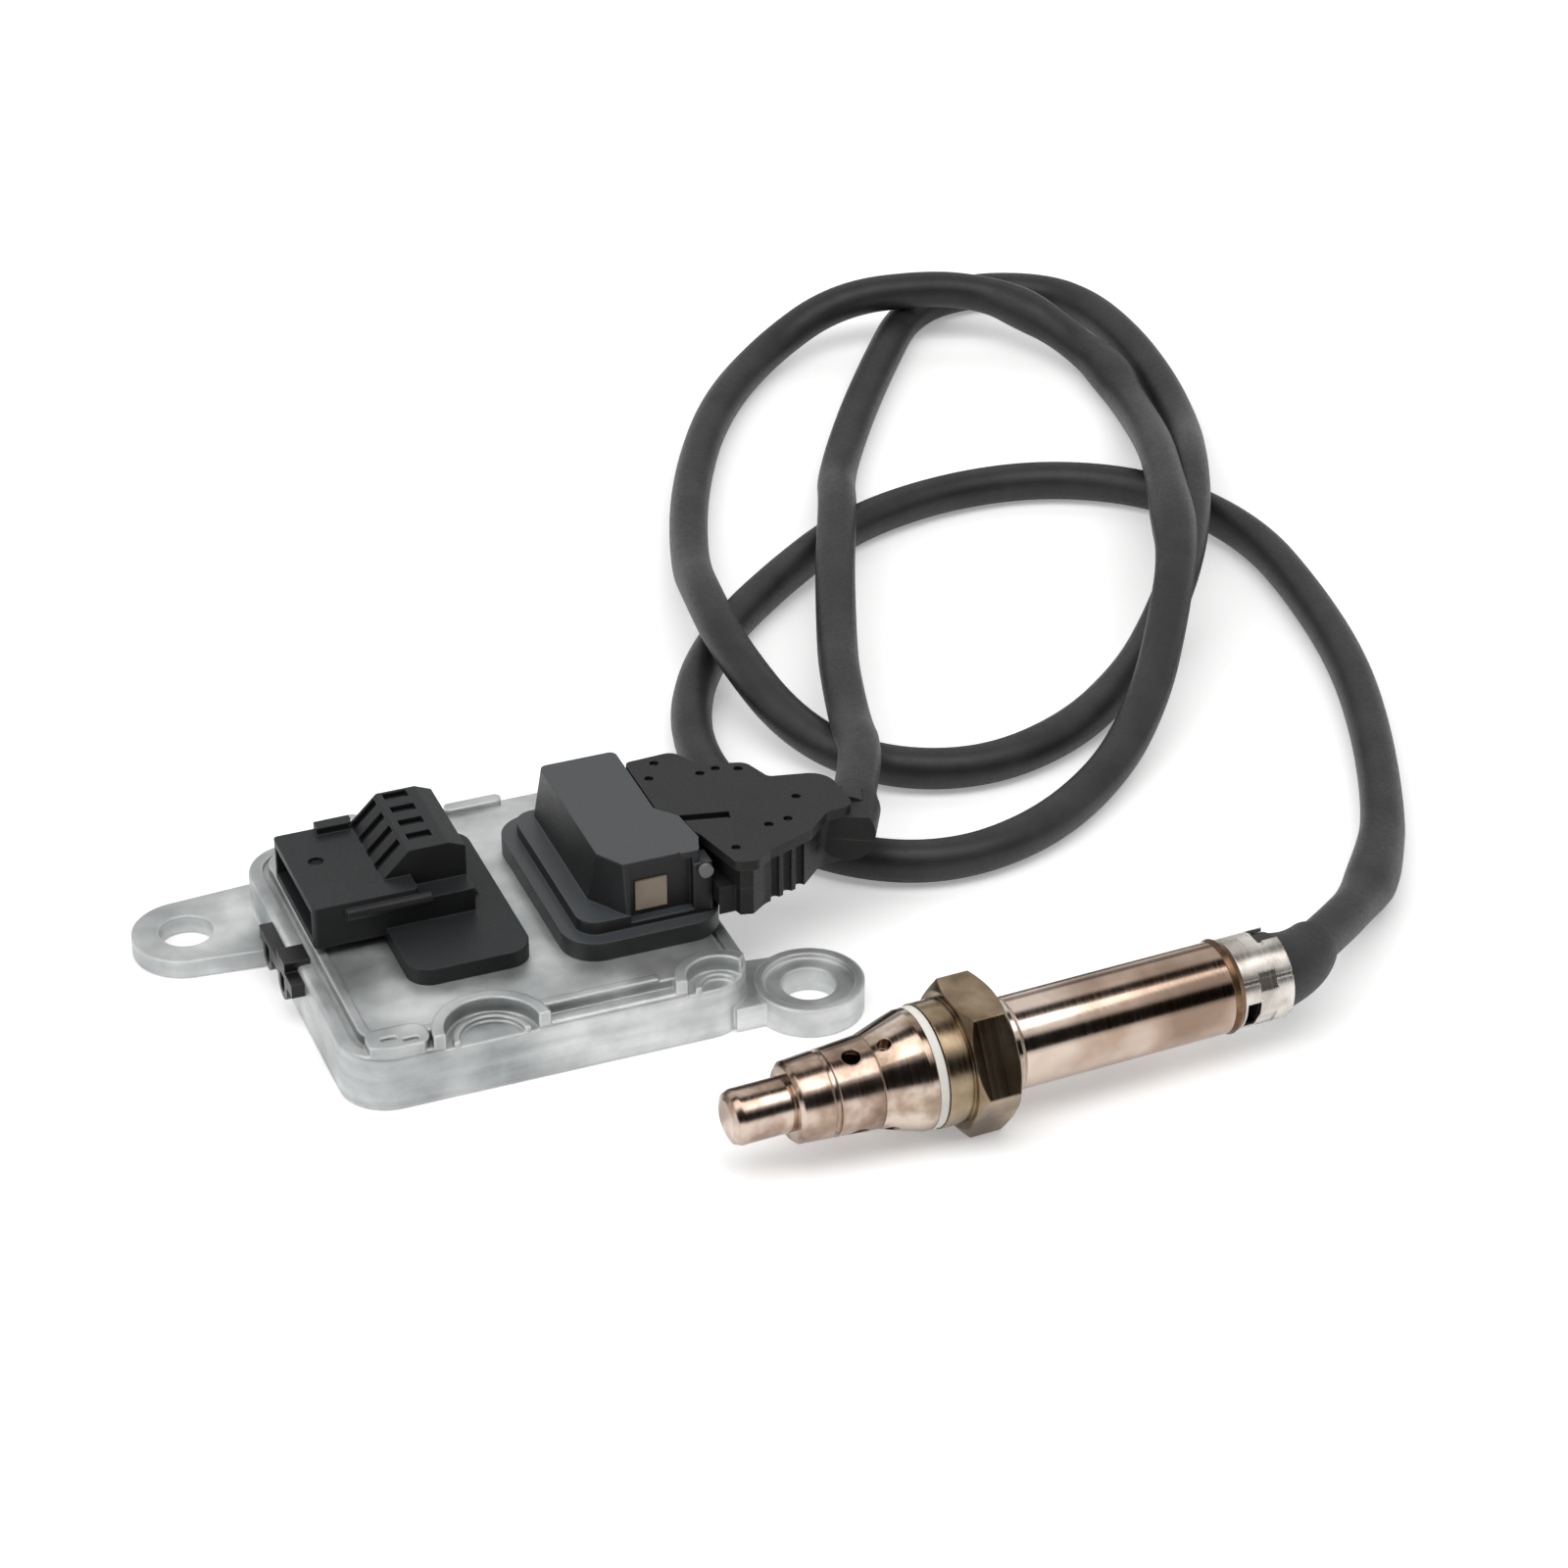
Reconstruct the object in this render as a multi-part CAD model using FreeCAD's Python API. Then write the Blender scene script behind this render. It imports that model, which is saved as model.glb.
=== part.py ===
import FreeCAD, Part
import math
import os

V = FreeCAD.Vector
X_AXIS = V(1, 0, 0)
Z_AXIS = V(0, 0, 1)

# Millimetres throughout. X runs along the control module's front edge, Y to its rear, Z up.
# The origin is the centre of the module's underside.

# Control module housing
HOUSING_LENGTH = 68.0
HOUSING_WIDTH = 66.0
HOUSING_HEIGHT = 9.8
HOUSING_CORNER = 8.0
HOUSING_WALL = 2.6
HOUSING_ROOF = 2.6
HOUSING_EDGE = 0.8
PLATEAU_INSET = 3.4
PLATEAU_RISE = 0.9
GROOVE_WIDTH = 1.1
GROOVE_DEPTH = 0.8

# Raised lip beside the groove, along the left and front edges
LIP_WIDTH = 1.6
LIP_RISE = 0.5
LIP_RIGHT = 18.0
LIP_REAR = 24.0

# Low boss at the front left corner; each of its two short slots starts at (x, y)
BOSS_LEFT = -30.5
BOSS_RIGHT = -20.6
BOSS_REAR = -27.0
BOSS_RISE = 0.8
BOSS_CORNER = 2.4
BOSS_SLOTS = ((-28.2, -30.5), (-24.9, -31.7))
BOSS_SLOT_LENGTH = 2.5
BOSS_SLOT_WIDTH = 1.0

# Mounting ears: hole centres, hole and lug radii
EAR_LEFT = (-45.9, 23.0)
EAR_RIGHT = (43.5, -30.2)
EAR_HOLE_RADIUS = 4.5
EAR_RADIUS = 9.0
EAR_LEFT_THICKNESS = 3.2
EAR_RIGHT_THICKNESS = 4.2
EAR_RIM = 0.9
EAR_RIM_WIDTH = 1.6
EAR_FLARE = 1.8

# Cast arches along the front edge: centre X, outer radius
ARCHES = ((-10.8, 9.6), (27.0, 7.2))
ARCH_WIDTH = 1.9
ARCH_RISE = 1.3
ARCH_POCKET = 1.6
ARCH_INSET = 0.2
CRESCENT_GAP = 1.4
CRESCENT_WIDTH = 1.0
CRESCENT_RISE = 0.9

# Cast bars along the rear edge: left end X, length, height over the roof
REAR_BARS = ((-20.0, 6.5, 3.6), (1.5, 10.0, 1.8))
REAR_BAR_WIDTH = 2.2
REAR_BAR_SETBACK = 1.0
REAR_BAR_CORNER = 1.0

# Base plate, let into the underside
PLATE_THICKNESS = 1.5
PLATE_GAP = 0.1

# Circuit board on its four posts
BOARD_THICKNESS = 1.6
BOARD_GAP = 1.2
BOARD_DROP = 1.0
POST_RADIUS = 2.2
POST_INSET = 5.0
POST_ROOT = 0.5
CHIP_HEIGHT = 1.2

# Chips under the board: centre X and Y, side
CHIPS = ((-15.0, -7.0, 14.0), (1.0, 9.0, 10.0), (14.0, -16.0, 12.0))

# Electrical header: flange, socket with its mouth to the left, ribbed block
HEADER_LEFT = -19.0
HEADER_RIGHT = 1.5
HEADER_FRONT = -17.5
HEADER_REAR = 20.5
HEADER_FLANGE = 3.0
HEADER_CORNER = 4.0
MOUTH_X = -31.0
SOCKET_FRONT = -3.7
SOCKET_REAR = 19.5
SOCKET_RISE = 1.9
SOCKET_HEIGHT = 7.6
SOCKET_WALL = 1.3
SOCKET_DEPTH = 13.0
SOCKET_EDGE = 0.7
RAIL_RADIUS = 1.1
RAIL_LEFT = -25.6
RAIL_LENGTH = 14.2
HEEL_LENGTH = 6.0
HEEL_WIDTH = 2.2
HEEL_RISE = 1.3
DIMPLE_AT = (-26.5, 9.9)
DIMPLE_RADIUS = 1.3
DIMPLE_DEPTH = 0.7
BLOCK_FRONT = 0.6
BLOCK_REAR = 19.0
BLOCK_LEFT = -13.4
BLOCK_RIGHT = -4.0
BLOCK_RISE = 4.6
BLOCK_LEAN = 4.7
BLOCK_FOOT = 2.0
BLOCK_BEVEL = 2.8
BLOCK_BEVEL_DROP = 1.2
SLOT_COUNT = 4
SLOT_PITCH = 4.3
SLOT_WIDTH = 2.0
SLOT_DEPTH = 1.1
SLOT_FIRST = 4.0
SLOT_TOP_RUN = 4.1
SLOT_PEAK = 0.8
PIN_COUNT = 5
PIN_PITCH = 3.2
PIN_SIZE = 0.8
PIN_REACH = 6.5
PIN_SETBACK = 1.6
TOWER_PIN_LENGTH = 6.5

# Seals in grooves under both flanges
SEAL_WIDTH = 1.4
SEAL_HEIGHT = 1.0
SEAL_INSET = 1.5
SEAL_CORNER = 0.4

# Sensor cable socket: stepped flange and block, its mouth to the right
BASE_LEFT = 6.5
BASE_RIGHT = 33.3
BASE_FRONT = -21.0
BASE_REAR = 20.0
BASE_HEIGHT = 3.4
BASE_CORNER = 6.0
STEP_INSET = 2.6
STEP_HEIGHT = 2.4
TOWER_LEFT = 13.6
TOWER_RIGHT = 28.2
TOWER_FRONT = -18.4
TOWER_REAR = 16.8
TOWER_TOP = 26.0
TOWER_DRAFT = 1.4
TOWER_CORNER = 1.2
TOWER_CHAMFER = (4.7, 7.5)
WINDOW_MARGIN = 3.9
WINDOW_DEPTH = 1.0
WINDOW_SILL = 1.0
WINDOW_LIP = 1.2
PAD_SIZE = 5.4
PAD_DEPTH = 0.8
PAD_X = 21.4
PAD_RISE = 4.9
STUD_RADIUS = 1.2
STUD_LENGTH = 1.6
STUD_RISE = 8.2
STUD_SETBACK = 1.2

# Shoulder and toe at the tower's front right, from the tower's right front corner
SHOULDER = ((-2.0, 15.5), (1.6, 11.3), (2.4, 4.1), (1.1, 0.4), (-2.0, 0.4))
TOE_REACH = 3.2
TOE_WIDTH = 3.8
TOE_DROP = 2.4
SLEEVE_WALL = 2.0
SLEEVE_DEPTH = 11.0

# Cable plug: tongue in the socket, two-part hood outside it
PLUG_GAP = 0.15
PLUG_TONGUE = 9.0
HOOD_PLATE = 1.8
HOOD_BOTTOM = 15.0
HOOD_SPLIT = 20.0
HOOD_RIM = 1.3
HOOD_OUTLINE = (
    (27.1, 11.3, 1.0),
    (35.6, 11.7, 2.5),
    (38.6, 6.4, 1.5),
    (45.8, 4.2, 2.5),
    (47.7, -1.3, 1.5),
    (57.2, -3.4, 4.5),
    (57.6, -14.6, 2.0),
    (52.6, -15.0, 1.5),
    (48.2, -19.2, 1.5),
    (40.0, -22.2, 1.5),
    (37.0, -24.4, 1.5),
    (33.6, -23.6, 1.2),
    (31.2, -13.9, 1.0),
    (27.1, -5.5, 1.0),
)
HOOD_DIMPLES = (
    (31.6, 9.4), (40.5, 4.2), (44.0, 2.8), (49.7, -8.7),
    (46.0, -14.5), (42.5, -15.0), (35.1, -19.5), (29.2, 5.2), (37.6, 3.7),
)
HOOD_DIMPLE_RADIUS = 0.8
HOOD_DIMPLE_DEPTH = 0.8
HOOD_FLUTES = ((41.5, -20.3), (44.0, -19.4), (46.5, -18.4))
HOOD_FLUTE_RADIUS = 0.9
HOOD_SLOT = ((28.0, -6.7), (37.9, -8.9), (37.5, -10.9), (28.0, -8.7))
HOOD_SLOT_DEPTH = 1.2
CHEEK_RIGHT = 35.0
CHEEK_FRONT = -21.2
CHEEK_REAR = -14.0
GROMMET_RADIUS = 4.2
GROMMET_LENGTH = 7.0
GROMMET_PROUD = 3.0
EXIT_WALL = 0.7
EXIT_LENGTH = 12.0

# Black double-loop clip on the left wall
CLIP_CENTRE_Y = 2.4
CLIP_LENGTH = 19.0
CLIP_THICKNESS = 2.2
CLIP_BOTTOM = 3.2
CLIP_TOP = 9.0
CLIP_STRAP = 2.4
CLIP_LOOP_RADIUS = 2.5
CLIP_EYE_RADIUS = 1.2
CLIP_EYE_MARGIN = 1.2
CLIP_LOOPS = (-1.4, 7.6)
CLIP_HOOK_FRONT = -3.2
CLIP_HOOK_REAR = 1.4
CLIP_HOOK_REACH = 2.2
CLIP_HOOK_THICKNESS = 1.0

# Probe: the tip's centre on the table, and the turn of its axis from X
PROBE_TIP = (14.7, -68.3)
PROBE_TURN = 3.0
NOSE_RADIUS = 4.45
NOSE_LENGTH = 9.9
NOSE_EDGE = 1.5
NOSE_WALL = 1.0
TUBE_RADIUS = 6.5
TUBE_END_RADIUS = 7.5
TUBE_LENGTH = 13.6
TUBE_WALL = 0.6
TUBE_GROOVE_AT = 5.6
TUBE_GROOVE_WIDTH = 0.9
TUBE_GROOVE_DEPTH = 0.5
INNER_GAP = 0.8
INNER_WALL = 0.5
COLLAR_RADIUS = 9.7
COLLAR_CONE = 7.0
COLLAR_RIM = 1.1
RING_RADIUS = 9.75
RING_LENGTH = 1.6
NECK_LENGTH = 4.2
THREAD_RADIUS = 10.0
HEX_ACROSS_FLATS = 22.0
HEX_LENGTH = 7.4
HEX_CHAMFER = 1.1
SHANK_RADIUS = 7.1
SHANK_BORE = 4.6
NUT_CLEARANCE = 0.08
NUT_END_GAP = 0.15
BEAD_RADIUS = 8.3
BEAD_LENGTH = 2.7
BEAD_EDGE = 0.5
REAR_RADIUS = 7.5
REAR_LENGTH = 36.9
REAR_WALL = 0.8
CRIMP_RADIUS = 7.8
CRIMP_LENGTH = 1.8
FERRULE_RADIUS = 7.4
FERRULE_LENGTH = 8.8
FERRULE_WALL = 0.7
FERRULE_DENTS = 6
FERRULE_DENT_SIZE = 3.2
FERRULE_DENT_DEPTH = 0.3
FERRULE_SEAM_ANGLE = 58.0
FERRULE_SEAM_WIDTH = 0.7

# Cut-outs in the ferrule: distance behind the crimp, length, width, angle about the axis
FERRULE_CUTS = ((0.4, 2.4, 5.2, 106.0), (5.4, 3.4, 5.0, -14.0))

# Gas holes in the tube and blind holes in the collar's cone, three of each round the axis
GAS_HOLE_RADIUS = 1.5
GAS_HOLE_AT = 10.1
CONE_HOLE_RADIUS = 1.1
CONE_HOLE_AT = 1.9
CONE_HOLE_DEPTH = 1.6
HOLE_COUNT = 3
HOLE_TURN = 15.0

# Ceramic element and its packing inside the probe
ELEMENT_WIDTH = 4.0
ELEMENT_THICKNESS = 1.4
ELEMENT_SETBACK = 12.0
BUSH_SETBACK = 1.0
BUSH_LENGTH = 6.0
TALC_LENGTH = 4.0
ELEMENT_TAIL = 6.0
HOLDER_LENGTH = 14.0
FIT_GAP = 0.05

# Cable and the boot that joins it to the probe
CABLE_RADIUS = 3.7
CABLE_HIGH = 15.0
CABLE_HIGHER = 18.0
BOOT_RADIUS = 6.5
BOOT_END_RADIUS = 4.6
BOOT_INSERT = 6.0

# Cable route from the hood to the boot, chosen from the loops that lie on the table
CABLE_FLOOR = CABLE_RADIUS
ROUTE = (
    (61.5, -4.5, 20.0), (66.5, 5.0, 19.0), (71.5, 16.5, 17.0),
    (75.5, 30.0, CABLE_HIGH), (80.0, 46.0, CABLE_HIGH), (87.0, 66.0, 6.0),
    (94.0, 86.0, CABLE_HIGH), (103.0, 108.0, CABLE_HIGH), (113.0, 130.0, CABLE_FLOOR),
    (126.0, 152.0, CABLE_FLOOR), (140.0, 173.0, CABLE_FLOOR), (155.0, 194.0, CABLE_FLOOR),
    (171.5, 200.5, CABLE_FLOOR), (188.5, 195.5, CABLE_FLOOR), (198.5, 181.0, CABLE_FLOOR),
    (198.5, 162.0, CABLE_FLOOR), (196.0, 142.0, CABLE_FLOOR), (190.0, 121.0, CABLE_FLOOR),
    (180.0, 99.0, CABLE_HIGH), (168.0, 76.0, CABLE_HIGH), (151.0, 56.5, CABLE_FLOOR),
    (134.0, 40.0, CABLE_FLOOR), (116.0, 26.0, CABLE_FLOOR), (96.0, 20.5, CABLE_FLOOR),
    (79.0, 28.0, CABLE_FLOOR), (70.0, 45.0, CABLE_FLOOR), (65.5, 64.0, CABLE_HIGH),
    (68.0, 84.0, CABLE_HIGH), (74.0, 108.0, CABLE_FLOOR), (85.0, 137.0, CABLE_FLOOR),
    (101.0, 166.0, CABLE_FLOOR), (120.0, 187.0, CABLE_FLOOR), (140.0, 196.0, 9.0),
    (159.0, 190.5, CABLE_HIGH), (172.0, 176.0, CABLE_HIGH), (179.0, 156.0, CABLE_FLOOR),
    (178.0, 132.0, CABLE_FLOOR), (172.0, 106.0, CABLE_HIGH), (161.5, 80.0, CABLE_HIGHER),
    (149.5, 54.0, CABLE_HIGHER), (134.0, 30.0, 9.0), (117.0, 11.5, CABLE_FLOOR),
    (97.0, -2.0, CABLE_FLOOR), (77.0, -5.0, CABLE_FLOOR), (60.5, 5.5, CABLE_FLOOR),
    (53.0, 23.0, CABLE_FLOOR), (51.0, 42.0, CABLE_FLOOR), (57.0, 62.0, CABLE_FLOOR),
    (70.0, 81.0, CABLE_FLOOR), (88.0, 97.0, CABLE_FLOOR), (108.0, 111.5, CABLE_FLOOR),
    (131.0, 117.5, CABLE_FLOOR), (153.0, 115.0, CABLE_FLOOR), (171.0, 102.0, CABLE_FLOOR),
    (179.0, 80.0, CABLE_FLOOR), (177.5, 55.0, CABLE_FLOOR), (173.0, 29.0, CABLE_FLOOR),
    (164.5, 4.0, CABLE_FLOOR), (154.0, -19.5, CABLE_FLOOR), (142.0, -37.5, 5.0),
    (130.0, -50.0, 8.5), (118.5, -59.5, 11.0),
)
ARC_SHARE = 0.45

# Heights and places that follow from the sizes above
ROOF_TOP = HOUSING_HEIGHT
PLATEAU_TOP = ROOF_TOP + PLATEAU_RISE
CAVITY_TOP = ROOF_TOP - HOUSING_ROOF
BOARD_TOP = CAVITY_TOP - BOARD_DROP
BOARD_BOTTOM = BOARD_TOP - BOARD_THICKNESS
HEADER_FLANGE_TOP = PLATEAU_TOP + HEADER_FLANGE
SOCKET_BOTTOM = PLATEAU_TOP + SOCKET_RISE
SOCKET_TOP = SOCKET_BOTTOM + SOCKET_HEIGHT
BLOCK_TOP = SOCKET_TOP + BLOCK_RISE
BASE_TOP = PLATEAU_TOP + BASE_HEIGHT
STEP_TOP = BASE_TOP + STEP_HEIGHT
SOCKET_MIDDLE_Y = (SOCKET_FRONT + SOCKET_REAR) / 2
SOCKET_MIDDLE_Z = (SOCKET_BOTTOM + SOCKET_TOP) / 2
TOWER_MIDDLE_Y = (TOWER_FRONT + TOWER_REAR) / 2
HEADER_MIDDLE_X = (BLOCK_LEFT + BLOCK_RIGHT) / 2
TOWER_PIN_X = TOWER_RIGHT - SLEEVE_DEPTH - PIN_SETBACK
SLEEVE_BOTTOM = HOOD_BOTTOM + SLEEVE_WALL
SLEEVE_TOP = TOWER_TOP - SLEEVE_WALL
SLEEVE_MIDDLE_Z = (SLEEVE_BOTTOM + SLEEVE_TOP) / 2
AXIS_HEIGHT = HEX_ACROSS_FLATS / 2

# Stations along the probe's axis, from its tip
TUBE_START = NOSE_LENGTH
COLLAR_START = TUBE_START + TUBE_LENGTH
COLLAR_FULL = COLLAR_START + COLLAR_CONE
COLLAR_END = COLLAR_FULL + COLLAR_RIM
RING_END = COLLAR_END + RING_LENGTH
HEX_START = RING_END + NECK_LENGTH
HEX_END = HEX_START + HEX_LENGTH
BEAD_END = HEX_END + BEAD_LENGTH
REAR_END = BEAD_END + REAR_LENGTH
CRIMP_END = REAR_END + CRIMP_LENGTH
FERRULE_END = CRIMP_END + FERRULE_LENGTH


# A closed face at height z. Each point is (x, y) or (x, y, r), and r rounds its corner.
def rounded_face(points, z, radius=0.0):
    corners = [V(point[0], point[1], z) for point in points]
    joints = []
    for i, corner in enumerate(corners):
        size = points[i][2] if len(points[i]) > 2 else radius
        if size <= 0:
            joints.append((corner, None, corner))
            continue
        back = (corners[i - 1] - corner).normalize()
        ahead = (corners[(i + 1) % len(corners)] - corner).normalize()
        half = back.getAngle(ahead) / 2
        reach = size / math.tan(half)
        centre = corner + (back + ahead).normalize() * (size / math.sin(half))
        middle = centre + (corner - centre).normalize() * size
        joints.append((corner + back * reach, middle, corner + ahead * reach))
    edges = []
    for i, (start, middle, end) in enumerate(joints):
        if middle is not None:
            edges.append(Part.Arc(start, middle, end).toShape())
        following = joints[(i + 1) % len(joints)][0]
        if (following - end).Length > 1e-6:
            edges.append(Part.LineSegment(end, following).toShape())
    return Part.Face(Part.Wire(edges))


def prism(points, bottom, top, radius=0.0):
    return rounded_face(points, bottom, radius).extrude(V(0, 0, top - bottom))


def rectangle(left, right, front, rear):
    return ((left, front), (right, front), (right, rear), (left, rear))


def slab(left, right, front, rear, bottom, top, radius=0.0):
    return prism(rectangle(left, right, front, rear), bottom, top, radius)


# A block whose sides lean in by the draft from bottom to top.
def drafted(left, right, front, rear, bottom, top, draft, radius):
    low = rounded_face(rectangle(left, right, front, rear), bottom, radius).OuterWire
    high_points = rectangle(left + draft, right - draft, front + draft / 2, rear - draft)
    high = rounded_face(high_points, top, radius).OuterWire
    return Part.makeLoft([low, high], True)


# An upright profile in X and Z, extruded along Y.
def side_profile(points, front, rear):
    outline = [V(x, front, z) for x, z in points]
    outline.append(outline[0])
    return Part.Face(Part.makePolygon(outline)).extrude(V(0, rear - front, 0))


# A turned solid about the X axis, from (station, radius) points of its closed half section.
def turned(points):
    outline = [V(x, radius, 0) for x, radius in points]
    outline.append(outline[0])
    return Part.Face(Part.makePolygon(outline)).revolve(V(0, 0, 0), X_AXIS, 360)


def tube(start, end, outer, inner=0.0):
    return turned(((start, inner), (start, outer), (end, outer), (end, inner)))


def on_probe(shape):
    placed = shape.copy()
    placed.rotate(V(0, 0, 0), Z_AXIS, PROBE_TURN)
    placed.translate(V(PROBE_TIP[0], PROBE_TIP[1], AXIS_HEIGHT))
    return placed


# The point on the probe's axis at a station, in the model's frame.
def axis_point(station):
    turn = math.radians(PROBE_TURN)
    return V(
        PROBE_TIP[0] + station * math.cos(turn),
        PROBE_TIP[1] + station * math.sin(turn),
        AXIS_HEIGHT,
    )


def housing_rectangle(inset):
    half_length = HOUSING_LENGTH / 2 - inset
    half_width = HOUSING_WIDTH / 2 - inset
    return rectangle(-half_length, half_length, -half_width, half_width)


def seal_groove(left, right, front, rear, corner, gap):
    outer = slab(
        left + SEAL_INSET - gap,
        right - SEAL_INSET + gap,
        front + SEAL_INSET - gap,
        rear - SEAL_INSET + gap,
        PLATEAU_TOP,
        PLATEAU_TOP + SEAL_HEIGHT + gap,
        corner - SEAL_INSET + gap,
    )
    reach = SEAL_INSET + SEAL_WIDTH + gap
    inner = slab(
        left + reach,
        right - reach,
        front + reach,
        rear - reach,
        PLATEAU_TOP,
        PLATEAU_TOP + SEAL_HEIGHT + gap,
        max(corner - reach, SEAL_CORNER),
    )
    return outer.cut(inner)


# The opening in the roof through which a connector's pins reach the board.
def pin_window(middle_x, middle_y):
    half = PIN_PITCH * (PIN_COUNT - 1) / 2 + 3 * PIN_SIZE
    return slab(
        middle_x - 3 * PIN_SIZE,
        middle_x + 3 * PIN_SIZE,
        middle_y - half,
        middle_y + half,
        CAVITY_TOP,
        PLATEAU_TOP,
        PIN_SIZE,
    )


# A lug round one fixing hole, with a web that widens towards the housing.
def ear(centre, thickness, rim):
    x, y = centre
    side = 1 if x > 0 else -1
    edge = side * (HOUSING_LENGTH / 2 - HOUSING_CORNER / 2)
    front = max(y - EAR_RADIUS - EAR_FLARE, -HOUSING_WIDTH / 2)
    rear = min(y + EAR_RADIUS + EAR_FLARE, HOUSING_WIDTH / 2)
    web = prism(
        (
            (x, max(y - EAR_RADIUS, -HOUSING_WIDTH / 2)),
            (edge, front),
            (edge, rear),
            (x, min(y + EAR_RADIUS, HOUSING_WIDTH / 2)),
        ),
        0,
        thickness,
    )
    lug = Part.makeCylinder(EAR_RADIUS, thickness + rim, V(x, y, 0)).fuse(web)
    if rim > 0:
        dish = Part.makeCylinder(EAR_RADIUS - EAR_RIM_WIDTH, rim, V(x, y, thickness))
        lug = lug.cut(dish)
    return lug


# The raised lip that follows the groove's inner side.
def edge_lip():
    top = PLATEAU_TOP + LIP_RISE
    reach = PLATEAU_INSET + LIP_WIDTH
    outer = prism(housing_rectangle(PLATEAU_INSET), PLATEAU_TOP, top, HOUSING_CORNER - PLATEAU_INSET)
    inner = prism(housing_rectangle(reach), PLATEAU_TOP, top, HOUSING_CORNER - reach)
    kept = slab(-HOUSING_LENGTH / 2, LIP_RIGHT, -HOUSING_WIDTH / 2, LIP_REAR, PLATEAU_TOP, top)
    return outer.cut(inner).common(kept)


def corner_boss():
    front = -HOUSING_WIDTH / 2
    top = PLATEAU_TOP + BOSS_RISE
    boss = slab(BOSS_LEFT, BOSS_RIGHT, front, BOSS_REAR, ROOF_TOP - GROOVE_DEPTH, top, BOSS_CORNER)
    boss = boss.common(housing_block(ARCH_INSET))
    for left, low in BOSS_SLOTS:
        right = left + BOSS_SLOT_LENGTH
        boss = boss.cut(slab(left, right, low, low + BOSS_SLOT_WIDTH, PLATEAU_TOP, top))
    return boss


def housing_block(inset):
    return prism(housing_rectangle(inset), 0, 2 * PLATEAU_TOP, HOUSING_CORNER)


# One cast arch on the front edge, with its pocket and the low crescent inside it.
def with_arch(body, middle, radius):
    low = PLATEAU_TOP - ARCH_POCKET
    seat = V(middle, -HOUSING_WIDTH / 2, ROOF_TOP - GROOVE_DEPTH)
    floor = V(middle, -HOUSING_WIDTH / 2, low)
    ridge = Part.makeCylinder(radius, PLATEAU_TOP + ARCH_RISE - seat.z, seat)
    body = body.fuse(ridge.common(housing_block(ARCH_INSET)))
    body = body.cut(Part.makeCylinder(radius - ARCH_WIDTH, 2 * PLATEAU_TOP, floor))
    reach = radius - ARCH_WIDTH - CRESCENT_GAP
    crescent = Part.makeCylinder(reach, CRESCENT_RISE, floor)
    crescent = crescent.cut(Part.makeCylinder(reach - CRESCENT_WIDTH, CRESCENT_RISE, floor))
    return body.fuse(crescent.common(housing_block(ARCH_INSET)))


def make_housing():
    body = prism(housing_rectangle(0), 0, ROOF_TOP, HOUSING_CORNER)
    rim = [edge for edge in body.Edges if abs(edge.BoundBox.ZMin - ROOF_TOP) < 1e-6]
    body = body.makeFillet(HOUSING_EDGE, rim)
    groove_outer = PLATEAU_INSET - GROOVE_WIDTH
    groove_floor = ROOF_TOP - GROOVE_DEPTH
    groove = prism(housing_rectangle(groove_outer), groove_floor, ROOF_TOP, HOUSING_CORNER - groove_outer)
    plateau_corner = HOUSING_CORNER - PLATEAU_INSET
    plateau = prism(housing_rectangle(PLATEAU_INSET), groove_floor, PLATEAU_TOP, plateau_corner)
    body = body.cut(groove).fuse(plateau)
    body = body.fuse(ear(EAR_LEFT, EAR_LEFT_THICKNESS, 0))
    body = body.fuse(ear(EAR_RIGHT, EAR_RIGHT_THICKNESS, EAR_RIM))
    body = body.fuse(edge_lip()).fuse(corner_boss())
    for middle, radius in ARCHES:
        body = with_arch(body, middle, radius)
    rear = HOUSING_WIDTH / 2 - REAR_BAR_SETBACK
    for left, length, rise in REAR_BARS:
        front = rear - REAR_BAR_WIDTH
        bar = slab(left, left + length, front, rear, CAVITY_TOP, ROOF_TOP + rise, REAR_BAR_CORNER)
        body = body.fuse(bar)
    cavity = prism(housing_rectangle(HOUSING_WALL), 0, CAVITY_TOP, HOUSING_CORNER - HOUSING_WALL)
    body = body.cut(cavity)
    for x, y in post_places():
        height = CAVITY_TOP - BOARD_TOP + POST_ROOT
        body = body.fuse(Part.makeCylinder(POST_RADIUS, height, V(x, y, BOARD_TOP)))
    for x, y in (EAR_LEFT, EAR_RIGHT):
        body = body.cut(Part.makeCylinder(EAR_HOLE_RADIUS, HOUSING_HEIGHT, V(x, y, 0)))
    body = body.cut(pin_window(HEADER_MIDDLE_X, SOCKET_MIDDLE_Y))
    body = body.cut(pin_window(TOWER_PIN_X, TOWER_MIDDLE_Y))
    return body.removeSplitter()


def post_places():
    reach_x = HOUSING_LENGTH / 2 - HOUSING_WALL - POST_INSET
    reach_y = HOUSING_WIDTH / 2 - HOUSING_WALL - POST_INSET
    return [(sx * reach_x, sy * reach_y) for sx in (-1, 1) for sy in (-1, 1)]


def make_base_plate():
    inset = HOUSING_WALL + PLATE_GAP
    return prism(housing_rectangle(inset), 0, PLATE_THICKNESS, HOUSING_CORNER - inset)


def make_circuit_board():
    inset = HOUSING_WALL + BOARD_GAP
    board = prism(housing_rectangle(inset), BOARD_BOTTOM, BOARD_TOP, HOUSING_CORNER - inset)
    for pin in header_pins() + tower_pins():
        board = board.cut(pin)
    return board


# Chips and the processor soldered under the board.
def make_board_chips():
    chips = []
    for x, y, side in CHIPS:
        half = side / 2
        low = BOARD_BOTTOM - CHIP_HEIGHT
        chips.append(slab(x - half, x + half, y - half, y + half, low, BOARD_BOTTOM))
    return Part.makeCompound(chips)


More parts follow.
